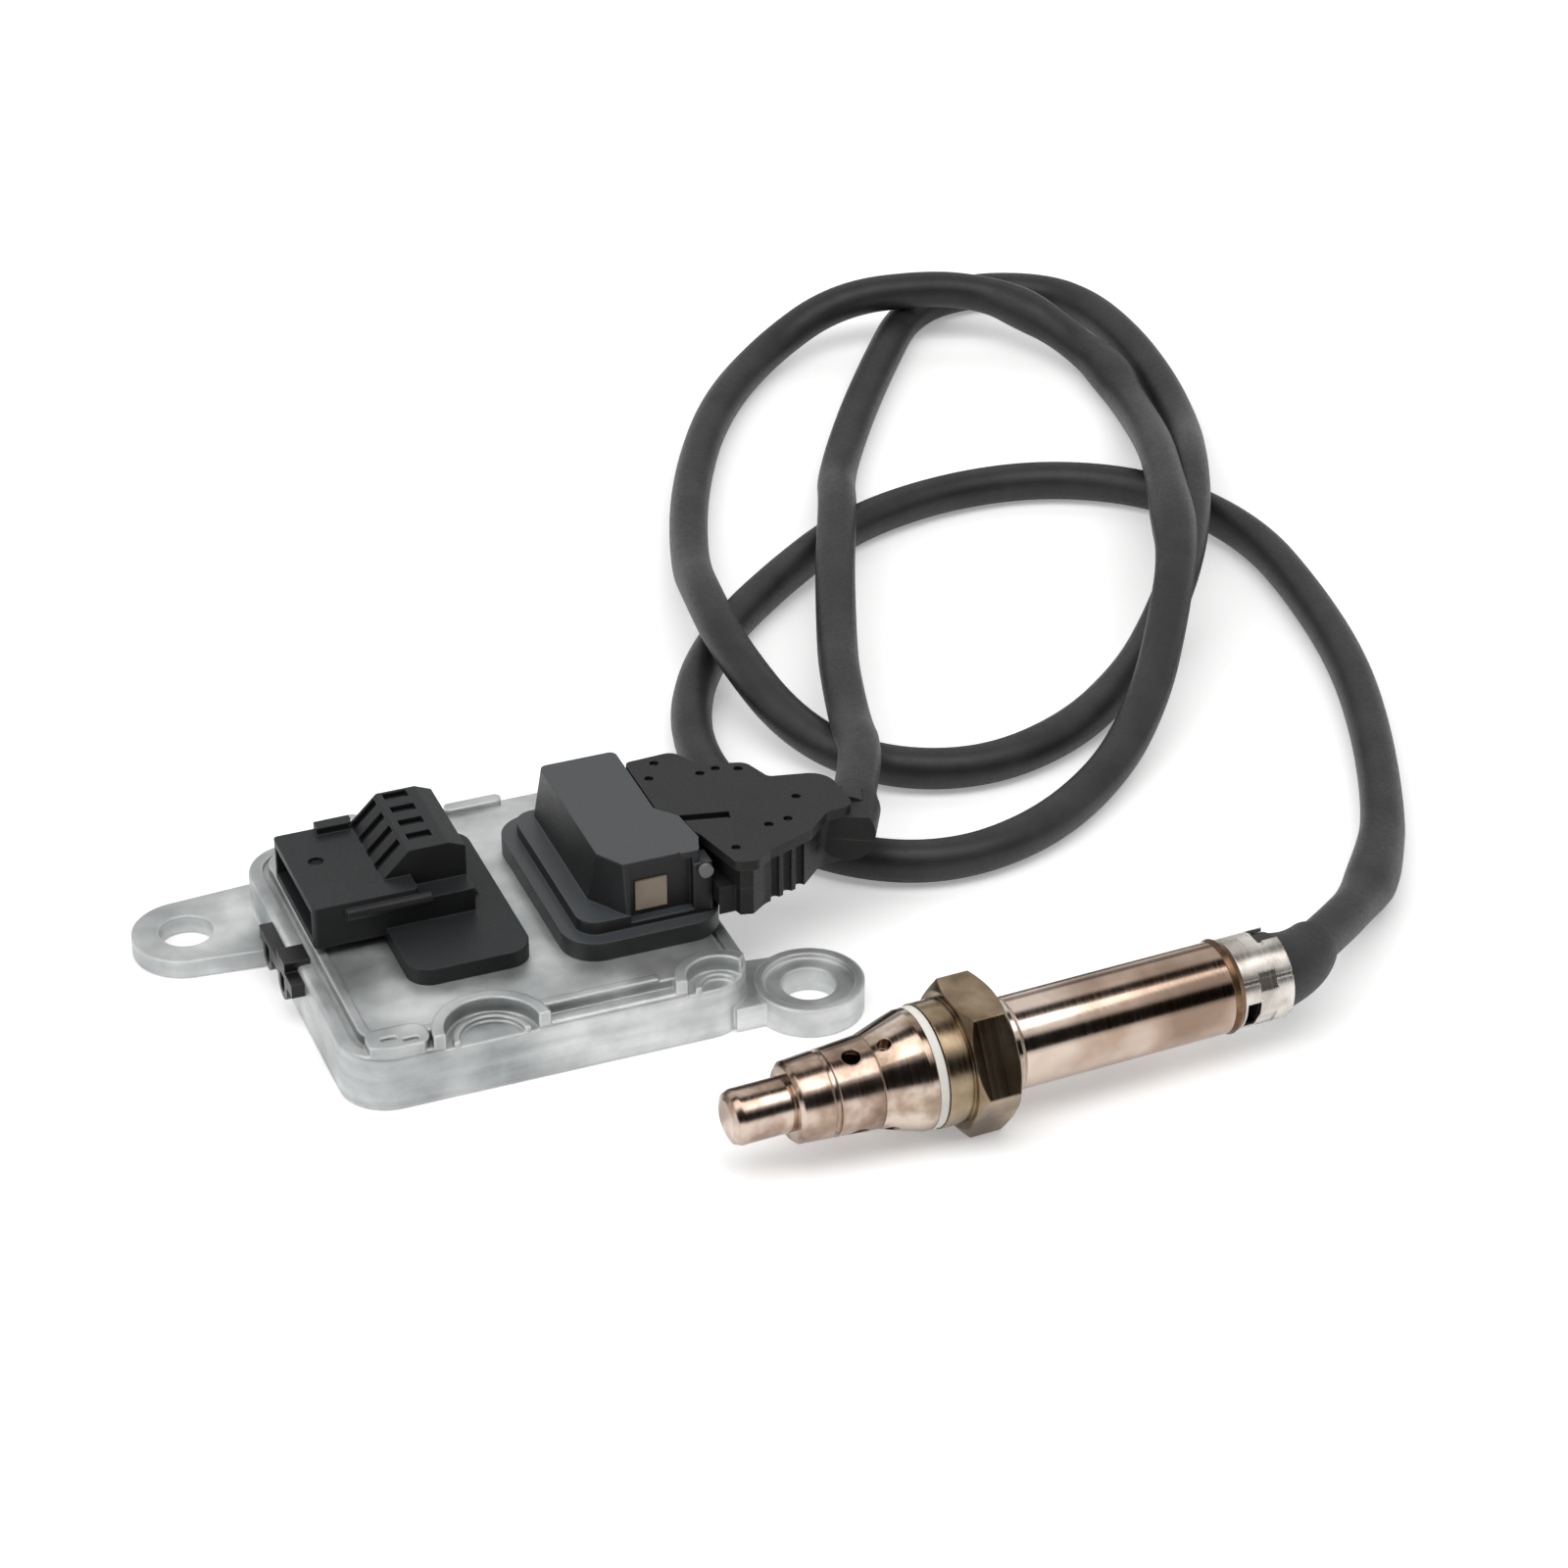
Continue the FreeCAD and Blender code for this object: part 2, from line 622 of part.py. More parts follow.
# A row of angled pins, level from tip to foot_x and then down through the board.
def pin_row(tip, foot_x, middle_y, level_z):
    half = PIN_SIZE / 2
    pins = []
    for k in range(PIN_COUNT):
        y = middle_y + (k - (PIN_COUNT - 1) / 2) * PIN_PITCH
        left = min(tip, foot_x - half)
        right = max(tip, foot_x + half)
        level = slab(left, right, y - half, y + half, level_z - half, level_z + half)
        upright = slab(foot_x - half, foot_x + half, y - half, y + half, BOARD_BOTTOM, level_z + half)
        pins.append(level.fuse(upright).removeSplitter())
    return pins


def header_pins():
    return pin_row(MOUTH_X + PIN_REACH, HEADER_MIDDLE_X, SOCKET_MIDDLE_Y, SOCKET_MIDDLE_Z)


def tower_pins():
    tip = TOWER_RIGHT - SLEEVE_DEPTH + TOWER_PIN_LENGTH
    return pin_row(tip, TOWER_PIN_X, TOWER_MIDDLE_Y, SLEEVE_MIDDLE_Z)


def make_header():
    flange = slab(
        HEADER_LEFT,
        HEADER_RIGHT,
        HEADER_FRONT,
        HEADER_REAR,
        PLATEAU_TOP,
        HEADER_FLANGE_TOP,
        HEADER_CORNER,
    )
    foot_x = BLOCK_LEFT - BLOCK_LEAN
    socket = slab(MOUTH_X, BLOCK_LEFT, SOCKET_FRONT, SOCKET_REAR, SOCKET_BOTTOM, SOCKET_TOP, SOCKET_EDGE)
    block = side_profile(
        (
            (foot_x, PLATEAU_TOP),
            (foot_x, SOCKET_TOP),
            (BLOCK_LEFT, BLOCK_TOP),
            (BLOCK_RIGHT - BLOCK_BEVEL, BLOCK_TOP),
            (BLOCK_RIGHT, BLOCK_TOP - BLOCK_BEVEL_DROP),
            (BLOCK_RIGHT, HEADER_FLANGE_TOP + BLOCK_FOOT),
            (BLOCK_RIGHT + BLOCK_FOOT, HEADER_FLANGE_TOP),
            (BLOCK_RIGHT + BLOCK_FOOT, PLATEAU_TOP),
        ),
        BLOCK_FRONT,
        BLOCK_REAR,
    )
    rail_z = SOCKET_TOP - 2 * RAIL_RADIUS
    shelf = slab(foot_x, BLOCK_RIGHT, SOCKET_FRONT, BLOCK_FRONT, PLATEAU_TOP, rail_z)
    rail = Part.makeCylinder(RAIL_RADIUS, RAIL_LENGTH, V(RAIL_LEFT, SOCKET_FRONT, rail_z), X_AXIS)
    heel_front = SOCKET_REAR - HEEL_WIDTH
    heel = slab(foot_x - HEEL_LENGTH, foot_x, heel_front, SOCKET_REAR, SOCKET_TOP, SOCKET_TOP + HEEL_RISE)
    header = flange.fuse(socket).fuse(block).fuse(shelf).fuse(rail).fuse(heel)
    for k in range(SLOT_COUNT):
        header = header.cut(block_slot(BLOCK_FRONT + SLOT_FIRST + k * SLOT_PITCH))
    cavity = slab(
        MOUTH_X,
        MOUTH_X + SOCKET_DEPTH,
        SOCKET_FRONT + SOCKET_WALL,
        SOCKET_REAR - SOCKET_WALL,
        SOCKET_BOTTOM + SOCKET_WALL,
        SOCKET_TOP - SOCKET_WALL,
    )
    header = header.cut(cavity)
    dimple = V(DIMPLE_AT[0], DIMPLE_AT[1], SOCKET_TOP - DIMPLE_DEPTH)
    header = header.cut(Part.makeCylinder(DIMPLE_RADIUS, DIMPLE_DEPTH, dimple))
    for pin in header_pins():
        header = header.cut(pin)
    groove = seal_groove(HEADER_LEFT, HEADER_RIGHT, HEADER_FRONT, HEADER_REAR, HEADER_CORNER, FIT_GAP)
    return header.cut(groove).removeSplitter()


# A slot up the block's slope and, past a solid band at the peak, another in its top.
def block_slot(middle):
    front = middle - SLOT_WIDTH / 2
    rear = middle + SLOT_WIDTH / 2
    along = V(BLOCK_LEAN, 0, BLOCK_RISE).normalize()
    inward = V(BLOCK_RISE, 0, -BLOCK_LEAN).normalize() * SLOT_DEPTH
    low = V(BLOCK_LEFT - BLOCK_LEAN, 0, SOCKET_TOP)
    high = V(BLOCK_LEFT, 0, BLOCK_TOP) - along * SLOT_PEAK
    corners = (low - inward, high - inward, high + inward, low + inward)
    slope = side_profile([(corner.x, corner.z) for corner in corners], front, rear)
    left = BLOCK_LEFT + SLOT_PEAK
    floor = BLOCK_TOP - SLOT_DEPTH
    return slope.fuse(slab(left, left + SLOT_TOP_RUN, front, rear, floor, BLOCK_TOP))


def make_sensor_socket():
    base = slab(BASE_LEFT, BASE_RIGHT, BASE_FRONT, BASE_REAR, PLATEAU_TOP, BASE_TOP, BASE_CORNER)
    step = slab(
        BASE_LEFT + STEP_INSET,
        BASE_RIGHT - STEP_INSET,
        BASE_FRONT + STEP_INSET,
        BASE_REAR - STEP_INSET,
        BASE_TOP,
        STEP_TOP,
        BASE_CORNER - STEP_INSET,
    )
    tower = tower_block().fuse(base).fuse(step)
    window = slab(
        TOWER_LEFT + WINDOW_MARGIN,
        TOWER_RIGHT,
        TOWER_FRONT - WINDOW_DEPTH,
        window_face(),
        BASE_TOP + WINDOW_SILL,
        TOWER_TOP - WINDOW_LIP,
    )
    tower = tower.cut(window)
    tower = tower.cut(plug_space(0))
    tower = tower.cut(pad_block(FIT_GAP)).cut(stud(FIT_GAP))
    for pin in tower_pins():
        tower = tower.cut(pin)
    groove = seal_groove(BASE_LEFT, BASE_RIGHT, BASE_FRONT, BASE_REAR, BASE_CORNER, FIT_GAP)
    return tower.cut(groove).removeSplitter()


# The socket's upright block, chamfered at its front left, with the shoulder and toe at its right.
def tower_block():
    left = TOWER_LEFT - TOWER_DRAFT
    block = drafted(
        left, TOWER_RIGHT, TOWER_FRONT, TOWER_REAR, BASE_TOP, TOWER_TOP, TOWER_DRAFT, TOWER_CORNER
    )
    run, rise = TOWER_CHAMFER
    corner = ((left, TOWER_FRONT), (left + run, TOWER_FRONT), (left, TOWER_FRONT + rise))
    block = block.cut(prism(corner, STEP_TOP, TOWER_TOP))
    shoulder = [(TOWER_RIGHT + x, TOWER_FRONT + y) for x, y in SHOULDER]
    toe = slab(
        TOWER_RIGHT - TOE_REACH,
        TOWER_RIGHT + TOE_REACH,
        TOWER_FRONT,
        TOWER_FRONT + TOE_WIDTH,
        BASE_TOP,
        TOWER_TOP - TOE_DROP,
    )
    return block.fuse(prism(shoulder, BASE_TOP, TOWER_TOP)).fuse(toe)


def window_face():
    return TOWER_FRONT + TOWER_DRAFT / 2 + WINDOW_DEPTH


def pad_block(gap):
    half = PAD_SIZE / 2 + gap
    middle = BASE_TOP + PAD_RISE
    front = window_face() - PAD_DEPTH / 2
    rear = front + PAD_DEPTH + gap
    return slab(PAD_X - half, PAD_X + half, front, rear, middle - half, middle + half)


def stud(gap):
    x = TOWER_RIGHT + TOE_REACH - STUD_SETBACK
    place = V(x, TOWER_FRONT - STUD_LENGTH / 2, BASE_TOP + STUD_RISE)
    return Part.makeCylinder(STUD_RADIUS + gap, STUD_LENGTH + gap, place, V(0, 1, 0))


# The sleeve's hollow, which the plug's tongue fills with a gap all round.
def plug_space(gap):
    return slab(
        TOWER_RIGHT - SLEEVE_DEPTH,
        TOWER_RIGHT + 2 * TOWER_DRAFT,
        TOWER_FRONT + 2 * SLEEVE_WALL + gap,
        TOWER_REAR - 2 * SLEEVE_WALL - gap,
        SLEEVE_BOTTOM + gap,
        SLEEVE_TOP - gap,
    )


def make_plug_insert():
    tongue_start = TOWER_RIGHT - PLUG_TONGUE
    keep = slab(tongue_start, TOWER_RIGHT + 2 * TOWER_DRAFT, TOWER_FRONT, TOWER_REAR, 0, TOWER_TOP)
    body = plug_space(PLUG_GAP).common(keep)
    half = PIN_SIZE / 2 + FIT_GAP
    reach = TOWER_RIGHT - SLEEVE_DEPTH + TOWER_PIN_LENGTH + PIN_SIZE
    for pin in tower_pins():
        y = pin.BoundBox.Center.y
        hole = slab(tongue_start, reach, y - half, y + half, SLEEVE_MIDDLE_Z - half, SLEEVE_MIDDLE_Z + half)
        body = body.cut(hole)
    return body


def hood_solid(inset, bottom, top):
    face = rounded_face(HOOD_OUTLINE, bottom)
    if inset > 0:
        face = Part.Face(face.OuterWire.makeOffset2D(-inset, 0, False, False))
    return face.extrude(V(0, 0, top - bottom))


def make_hood_cover():
    plate = hood_solid(0, TOWER_TOP - HOOD_PLATE, TOWER_TOP)
    skirt = hood_solid(HOOD_RIM, HOOD_SPLIT, TOWER_TOP - HOOD_PLATE)
    cover = plate.fuse(skirt)
    for x, y in HOOD_DIMPLES:
        low = V(x, y, TOWER_TOP - HOOD_DIMPLE_DEPTH)
        cover = cover.cut(Part.makeCylinder(HOOD_DIMPLE_RADIUS, HOOD_DIMPLE_DEPTH, low))
    cover = cover.fuse(exit_sleeve(HOOD_SPLIT, TOWER_TOP - HOOD_PLATE))
    return hood_trims(cover.cut(prism(HOOD_SLOT, TOWER_TOP - HOOD_SLOT_DEPTH, TOWER_TOP)))


def make_hood_base():
    left = TOWER_RIGHT + TOE_REACH + PLUG_GAP
    cheek = slab(left, CHEEK_RIGHT, CHEEK_FRONT, CHEEK_REAR, HOOD_BOTTOM, HOOD_SPLIT)
    half = hood_solid(HOOD_RIM, HOOD_BOTTOM, HOOD_SPLIT).fuse(cheek)
    return hood_trims(half.fuse(exit_sleeve(HOOD_BOTTOM, HOOD_SPLIT)))


# What both halves of the hood give up: the tower's side, the insert, the flutes and the grommet's bore.
def hood_trims(half):
    wide = tower_block()
    wide.translate(V(PLUG_GAP, 0, 0))
    base = slab(BASE_LEFT, BASE_RIGHT, BASE_FRONT, BASE_REAR, 0, STEP_TOP + PLUG_GAP)
    half = half.cut(wide).cut(base).cut(plug_space(0))
    for x, y in HOOD_FLUTES:
        half = half.cut(Part.makeCylinder(HOOD_FLUTE_RADIUS, TOWER_TOP - HOOD_PLATE, V(x, y, 0)))
    return half.cut(grommet_body(FIT_GAP)).removeSplitter()


# The part of the hood's cable sleeve that lies between two heights.
def exit_sleeve(bottom, top):
    end, heading = cable_start()
    back = end - heading * EXIT_LENGTH
    sleeve = Part.makeCylinder(GROMMET_RADIUS + EXIT_WALL, EXIT_LENGTH - GROMMET_PROUD, back, heading)
    reach = 2 * EXIT_LENGTH
    return sleeve.common(slab(end.x - reach, end.x + reach, end.y - reach, end.y + reach, bottom, top))


def cable_start():
    first, second = V(*ROUTE[0]), V(*ROUTE[1])
    return first, (second - first).normalize()


def grommet_body(gap):
    end, heading = cable_start()
    length = GROMMET_LENGTH + gap
    return Part.makeCylinder(GROMMET_RADIUS + gap, length, end - heading * length, heading)


def make_cable_grommet():
    return grommet_body(0)


# A tongue of the side clip, round at its lower end.
def hanger(y, radius, top):
    left = -HOUSING_LENGTH / 2 - CLIP_THICKNESS
    middle_z = CLIP_BOTTOM + CLIP_LOOP_RADIUS
    end = Part.makeCylinder(radius, CLIP_THICKNESS, V(left, y, middle_z), X_AXIS)
    return end.fuse(slab(left, left + CLIP_THICKNESS, y - radius, y + radius, middle_z, top))


def make_side_clip():
    wall = -HOUSING_LENGTH / 2
    left = wall - CLIP_THICKNESS
    front = CLIP_CENTRE_Y - CLIP_LENGTH / 2
    rear = CLIP_CENTRE_Y + CLIP_LENGTH / 2
    clip = slab(left, wall, front, rear, CLIP_TOP - CLIP_STRAP, CLIP_TOP)
    for y in CLIP_LOOPS:
        clip = clip.fuse(hanger(y, CLIP_LOOP_RADIUS, CLIP_TOP))
    for y in CLIP_LOOPS:
        clip = clip.cut(hanger(y, CLIP_EYE_RADIUS, CLIP_TOP - CLIP_EYE_MARGIN))
    neck = slab(left, wall, CLIP_HOOK_FRONT, CLIP_HOOK_REAR, CLIP_TOP, ROOF_TOP)
    hook_top = ROOF_TOP + CLIP_HOOK_THICKNESS
    hook = slab(left, wall + CLIP_HOOK_REACH, CLIP_HOOK_FRONT, CLIP_HOOK_REAR, ROOF_TOP, hook_top)
    return clip.fuse(neck).fuse(hook).removeSplitter()


# The nose is closed, and two cones round its rim.
def make_nose():
    inner = NOSE_RADIUS - INNER_WALL
    bulge = NOSE_EDGE * (1 - math.sqrt(0.5))
    return turned(
        (
            (0, 0),
            (0, NOSE_RADIUS - NOSE_EDGE),
            (bulge, NOSE_RADIUS - bulge),
            (NOSE_EDGE, NOSE_RADIUS),
            (NOSE_LENGTH, NOSE_RADIUS),
            (NOSE_LENGTH, inner),
            (NOSE_WALL, inner),
            (NOSE_WALL, 0),
        )
    )


# The protection tube widens evenly from its step to the collar.
def tube_radius(station):
    share = (station - TUBE_START) / TUBE_LENGTH
    return TUBE_RADIUS + share * (TUBE_END_RADIUS - TUBE_RADIUS)


# Holes of one radius at a station, from a depth outwards, spaced evenly round the axis.
def with_holes(shape, radius, station, depth):
    for k in range(HOLE_COUNT):
        drill = Part.makeCylinder(radius, COLLAR_RADIUS, V(station, 0, depth), Z_AXIS)
        drill.rotate(V(0, 0, 0), X_AXIS, HOLE_TURN + k * 360 / HOLE_COUNT)
        shape = shape.cut(drill)
    return shape


def make_protection_tube():
    groove = TUBE_START + TUBE_GROOVE_AT
    groove_end = groove + TUBE_GROOVE_WIDTH
    step = TUBE_START + TUBE_WALL
    depth = TUBE_WALL + TUBE_GROOVE_DEPTH
    shell = turned(
        (
            (TUBE_START, NOSE_RADIUS - INNER_WALL),
            (TUBE_START, TUBE_RADIUS - TUBE_WALL),
            (step, tube_radius(step)),
            (groove, tube_radius(groove)),
            (groove, tube_radius(groove) - TUBE_GROOVE_DEPTH),
            (groove_end, tube_radius(groove_end) - TUBE_GROOVE_DEPTH),
            (groove_end, tube_radius(groove_end)),
            (COLLAR_START, TUBE_END_RADIUS),
            (COLLAR_START, TUBE_END_RADIUS - depth),
            (step, tube_radius(step) - depth),
            (step, NOSE_RADIUS - INNER_WALL),
        )
    )
    return with_holes(shell, GAS_HOLE_RADIUS, TUBE_START + GAS_HOLE_AT, 0)


def make_inner_tube():
    outer = TUBE_RADIUS - TUBE_WALL - TUBE_GROOVE_DEPTH - INNER_GAP
    return tube(TUBE_START + TUBE_WALL + FIT_GAP, COLLAR_START, outer, outer - INNER_WALL)


def make_collar():
    shank_end = REAR_END - REAR_LENGTH
    collar = turned(
        (
            (COLLAR_START, SHANK_BORE),
            (COLLAR_START, TUBE_END_RADIUS),
            (COLLAR_FULL, COLLAR_RADIUS),
            (COLLAR_END, COLLAR_RADIUS),
            (COLLAR_END, SHANK_RADIUS),
            (shank_end, SHANK_RADIUS),
            (shank_end, SHANK_BORE),
        )
    )
    floor = TUBE_END_RADIUS - CONE_HOLE_DEPTH
    return with_holes(collar, CONE_HOLE_RADIUS, COLLAR_START + CONE_HOLE_AT, floor)


def make_seal_ring():
    return tube(COLLAR_END, RING_END - NUT_END_GAP, RING_RADIUS, SHANK_RADIUS)


def make_gland_nut():
    flat = HEX_ACROSS_FLATS / 2
    corner = HEX_ACROSS_FLATS / math.sqrt(3)
    turns = [math.radians(angle) for angle in range(0, 361, 60)]
    hexagon = [V(HEX_START, corner * math.cos(turn), corner * math.sin(turn)) for turn in turns]
    nut = Part.Face(Part.makePolygon(hexagon)).extrude(V(HEX_LENGTH, 0, 0))
    chamfers = turned(
        (
            (HEX_START, 0),
            (HEX_START, flat),
            (HEX_START + HEX_CHAMFER, corner + NUT_CLEARANCE),
            (HEX_END - HEX_CHAMFER, corner + NUT_CLEARANCE),
            (HEX_END, flat),
            (HEX_END, 0),
        )
    )
    nut = nut.common(chamfers).fuse(tube(RING_END, HEX_START, THREAD_RADIUS))
    bore = SHANK_RADIUS + NUT_CLEARANCE
    return nut.cut(tube(RING_END, HEX_END, bore)).removeSplitter()


def make_retaining_bead():
    start = HEX_END + NUT_END_GAP
    return turned(
        (
            (start, SHANK_RADIUS),
            (start, BEAD_RADIUS - BEAD_EDGE),
            (start + BEAD_EDGE, BEAD_RADIUS),
            (BEAD_END - BEAD_RADIUS + REAR_RADIUS, BEAD_RADIUS),
            (BEAD_END, REAR_RADIUS),
            (BEAD_END, SHANK_RADIUS),
        )
    )


def make_rear_tube():
    return tube(BEAD_END, REAR_END, REAR_RADIUS, REAR_RADIUS - REAR_WALL)


def make_crimp_ring():
    middle = (REAR_END + CRIMP_END) / 2
    return turned(
        (
            (REAR_END, REAR_RADIUS - REAR_WALL),
            (REAR_END, REAR_RADIUS),
            (middle, CRIMP_RADIUS),
            (CRIMP_END, FERRULE_RADIUS),
            (CRIMP_END, REAR_RADIUS - REAR_WALL),
        )
    )


# A box on the probe's top side between two depths, turned about the axis.
def side_box(start, length, width, low, high, angle):
    box = slab(start, start + length, -width / 2, width / 2, low, high)
    box.rotate(V(0, 0, 0), X_AXIS, angle)
    return box


def make_ferrule():
    shell = tube(CRIMP_END, FERRULE_END, FERRULE_RADIUS, FERRULE_RADIUS - FERRULE_WALL)
    over = 2 * FERRULE_RADIUS
    floor = FERRULE_RADIUS - FERRULE_DENT_DEPTH
    middle = (CRIMP_END + FERRULE_END - FERRULE_DENT_SIZE) / 2
    for k in range(FERRULE_DENTS):
        angle = k * 360 / FERRULE_DENTS
        shell = shell.cut(side_box(middle, FERRULE_DENT_SIZE, FERRULE_DENT_SIZE, floor, over, angle))
    seam = side_box(CRIMP_END, FERRULE_LENGTH, FERRULE_SEAM_WIDTH, floor, over, FERRULE_SEAM_ANGLE)
    shell = shell.cut(seam)
    for behind, length, width, angle in FERRULE_CUTS:
        shell = shell.cut(side_box(CRIMP_END + behind, length, width, 0, over, angle))
    return shell


def disc_at(centre, heading, radius):
    return Part.Wire(Part.Circle(centre, heading, radius).toShape())


# The boot starts inside the ferrule and bends to meet the cable's last run.
def make_cable_boot():
    axis = (axis_point(1) - axis_point(0)).normalize()
    mouth = axis_point(FERRULE_END)
    last, before = V(*ROUTE[-1]), V(*ROUTE[-2])
    out = (before - last).normalize()
    inside = FERRULE_RADIUS - FERRULE_WALL - FIT_GAP
    plug = Part.makeCylinder(inside, BOOT_INSERT, mouth - axis * BOOT_INSERT, axis)
    reach = (last - mouth).Length / 2
    middle = mouth + axis * reach
    bend = (mouth + middle * 2 + last) * 0.25
    heading = (last - mouth).normalize()
    sections = [
        disc_at(mouth, axis, BOOT_RADIUS),
        disc_at(bend, heading, (BOOT_RADIUS + BOOT_END_RADIUS) / 2),
        disc_at(last, out, BOOT_END_RADIUS),
    ]
    elbow = Part.makeLoft(sections, True)
    return plug.fuse(elbow).removeSplitter()


def bush_radius():
    return SHANK_BORE - FIT_GAP


def element_slot():
    return ELEMENT_WIDTH / 2 + FIT_GAP, ELEMENT_THICKNESS / 2 + FIT_GAP


def slotted(shape, start, end):
    wide, thick = element_slot()
    return shape.cut(slab(start, end, -wide, wide, -thick, thick))


def make_front_bush():
    start = COLLAR_START + BUSH_SETBACK
    return slotted(tube(start, start + BUSH_LENGTH, bush_radius()), start, start + BUSH_LENGTH)


def make_talc_packing():
    start = COLLAR_START + BUSH_SETBACK + BUSH_LENGTH
    return slotted(tube(start, start + TALC_LENGTH, bush_radius()), start, start + TALC_LENGTH)


def make_rear_bush():
    start = COLLAR_START + BUSH_SETBACK + BUSH_LENGTH + TALC_LENGTH
    return slotted(tube(start, start + BUSH_LENGTH, bush_radius()), start, start + BUSH_LENGTH)


def element_end():
    return BEAD_END + ELEMENT_TAIL


def make_sensing_element():
    return slab(
        ELEMENT_SETBACK,
        element_end(),
        -ELEMENT_WIDTH / 2,
        ELEMENT_WIDTH / 2,
        -ELEMENT_THICKNESS / 2,
        ELEMENT_THICKNESS / 2,
    )


def make_contact_holder():
    start = BEAD_END + FIT_GAP
    end = start + HOLDER_LENGTH
    outer = REAR_RADIUS - REAR_WALL - FIT_GAP
    return slotted(tube(start, end, outer), start, element_end() + FIT_GAP)


# Straight runs joined by tangent arcs, each as large as its two runs allow.
def route_edges():
    points = [V(*point) for point in ROUTE]
    runs = [(after - before).Length for before, after in zip(points, points[1:])]
    edges = []
    at = points[0]
    radii = []
    for i in range(1, len(points) - 1):
        back = (points[i - 1] - points[i]).normalize()
        ahead = (points[i + 1] - points[i]).normalize()
        half = back.getAngle(ahead) / 2
        reach = ARC_SHARE * min(runs[i - 1], runs[i])
        radius = reach * math.tan(half)
        centre = points[i] + (back + ahead).normalize() * (radius / math.sin(half))
        start = points[i] + back * reach
        end = points[i] + ahead * reach
        middle = centre + (points[i] - centre).normalize() * radius
        edges.append(Part.LineSegment(at, start).toShape())
        edges.append(Part.Arc(start, middle, end).toShape())
        radii.append(radius)
        at = end
    edges.append(Part.LineSegment(at, points[-1]).toShape())
    length = sum(edge.Length for edge in edges)
    return edges, radii, length


def make_sensor_cable():
    edges, radii, length = route_edges()
    start, heading = cable_start()
    section = disc_at(start, heading, CABLE_RADIUS)
    cable = Part.Wire(edges).makePipeShell([section], True, True)
    expected = math.pi * CABLE_RADIUS ** 2 * length
    share = cable.Volume / expected
    print("cable length %.1f mm, volume over section times length %.4f" % (length, share))
    print("cable radii, least %.1f mm: %s" % (min(radii), " ".join("%.0f" % radius for radius in radii)))
    return cable


MODULE_PIECES = {
    "module_housing": make_housing,
    "base_plate": make_base_plate,
    "circuit_board": make_circuit_board,
    "board_chips": make_board_chips,
    "connector_header": make_header,
    "header_pins": lambda: Part.makeCompound(header_pins()),
    "header_seal": lambda: seal_groove(
        HEADER_LEFT, HEADER_RIGHT, HEADER_FRONT, HEADER_REAR, HEADER_CORNER, 0
    ),
    "sensor_socket": make_sensor_socket,
    "socket_pins": lambda: Part.makeCompound(tower_pins()),
    "socket_seal": lambda: seal_groove(BASE_LEFT, BASE_RIGHT, BASE_FRONT, BASE_REAR, BASE_CORNER, 0),
    "window_pad": lambda: pad_block(0),
    "latch_stud": lambda: stud(0),
    "plug_insert": make_plug_insert,
    "hood_cover": make_hood_cover,
    "hood_base": make_hood_base,
    "cable_grommet": make_cable_grommet,
    "side_clip": make_side_clip,
    "sensor_cable": make_sensor_cable,
    "cable_boot": make_cable_boot,
}

PROBE_PIECES = {
    "nose_cap": make_nose,
    "protection_tube": make_protection_tube,
    "inner_tube": make_inner_tube,
    "probe_collar": make_collar,
    "seal_ring": make_seal_ring,
    "gland_nut": make_gland_nut,
    "retaining_bead": make_retaining_bead,
    "rear_tube": make_rear_tube,
    "crimp_ring": make_crimp_ring,
    "cable_ferrule": make_ferrule,
    "front_bush": make_front_bush,
    "talc_packing": make_talc_packing,
    "rear_bush": make_rear_bush,
    "sensing_element": make_sensing_element,
    "contact_holder": make_contact_holder,
}


def main():
    os.makedirs("parts", exist_ok=True)
    for name, make in MODULE_PIECES.items():
        make().exportStep("parts/%s.step" % name)
    for name, make in PROBE_PIECES.items():
        on_probe(make()).exportStep("parts/%s.step" % name)


main()
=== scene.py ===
import math

import bpy
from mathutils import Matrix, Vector


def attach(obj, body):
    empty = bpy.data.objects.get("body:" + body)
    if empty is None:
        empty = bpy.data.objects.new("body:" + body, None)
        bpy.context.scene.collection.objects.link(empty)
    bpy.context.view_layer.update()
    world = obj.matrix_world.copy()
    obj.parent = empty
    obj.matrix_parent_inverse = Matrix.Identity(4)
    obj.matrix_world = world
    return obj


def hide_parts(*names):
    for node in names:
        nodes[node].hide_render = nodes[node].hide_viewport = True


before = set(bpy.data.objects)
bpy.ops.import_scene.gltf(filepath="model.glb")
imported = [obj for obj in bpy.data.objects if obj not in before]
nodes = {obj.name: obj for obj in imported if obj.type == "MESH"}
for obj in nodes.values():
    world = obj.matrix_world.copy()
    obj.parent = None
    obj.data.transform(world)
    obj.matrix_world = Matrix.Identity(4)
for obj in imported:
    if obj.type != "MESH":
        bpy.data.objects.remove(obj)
bpy.context.view_layer.update()
mm = 0.001
print("loaded the packed part:", len(nodes), "nodes")


# sRGB hex to linear
def linearColour(code):
    channels = [int(code[i:i + 2], 16) / 255 for i in (1, 3, 5)]
    return [c / 12.92 if c <= 0.04045 else ((c + 0.055) / 1.055) ** 2.4 for c in channels] + [1.0]


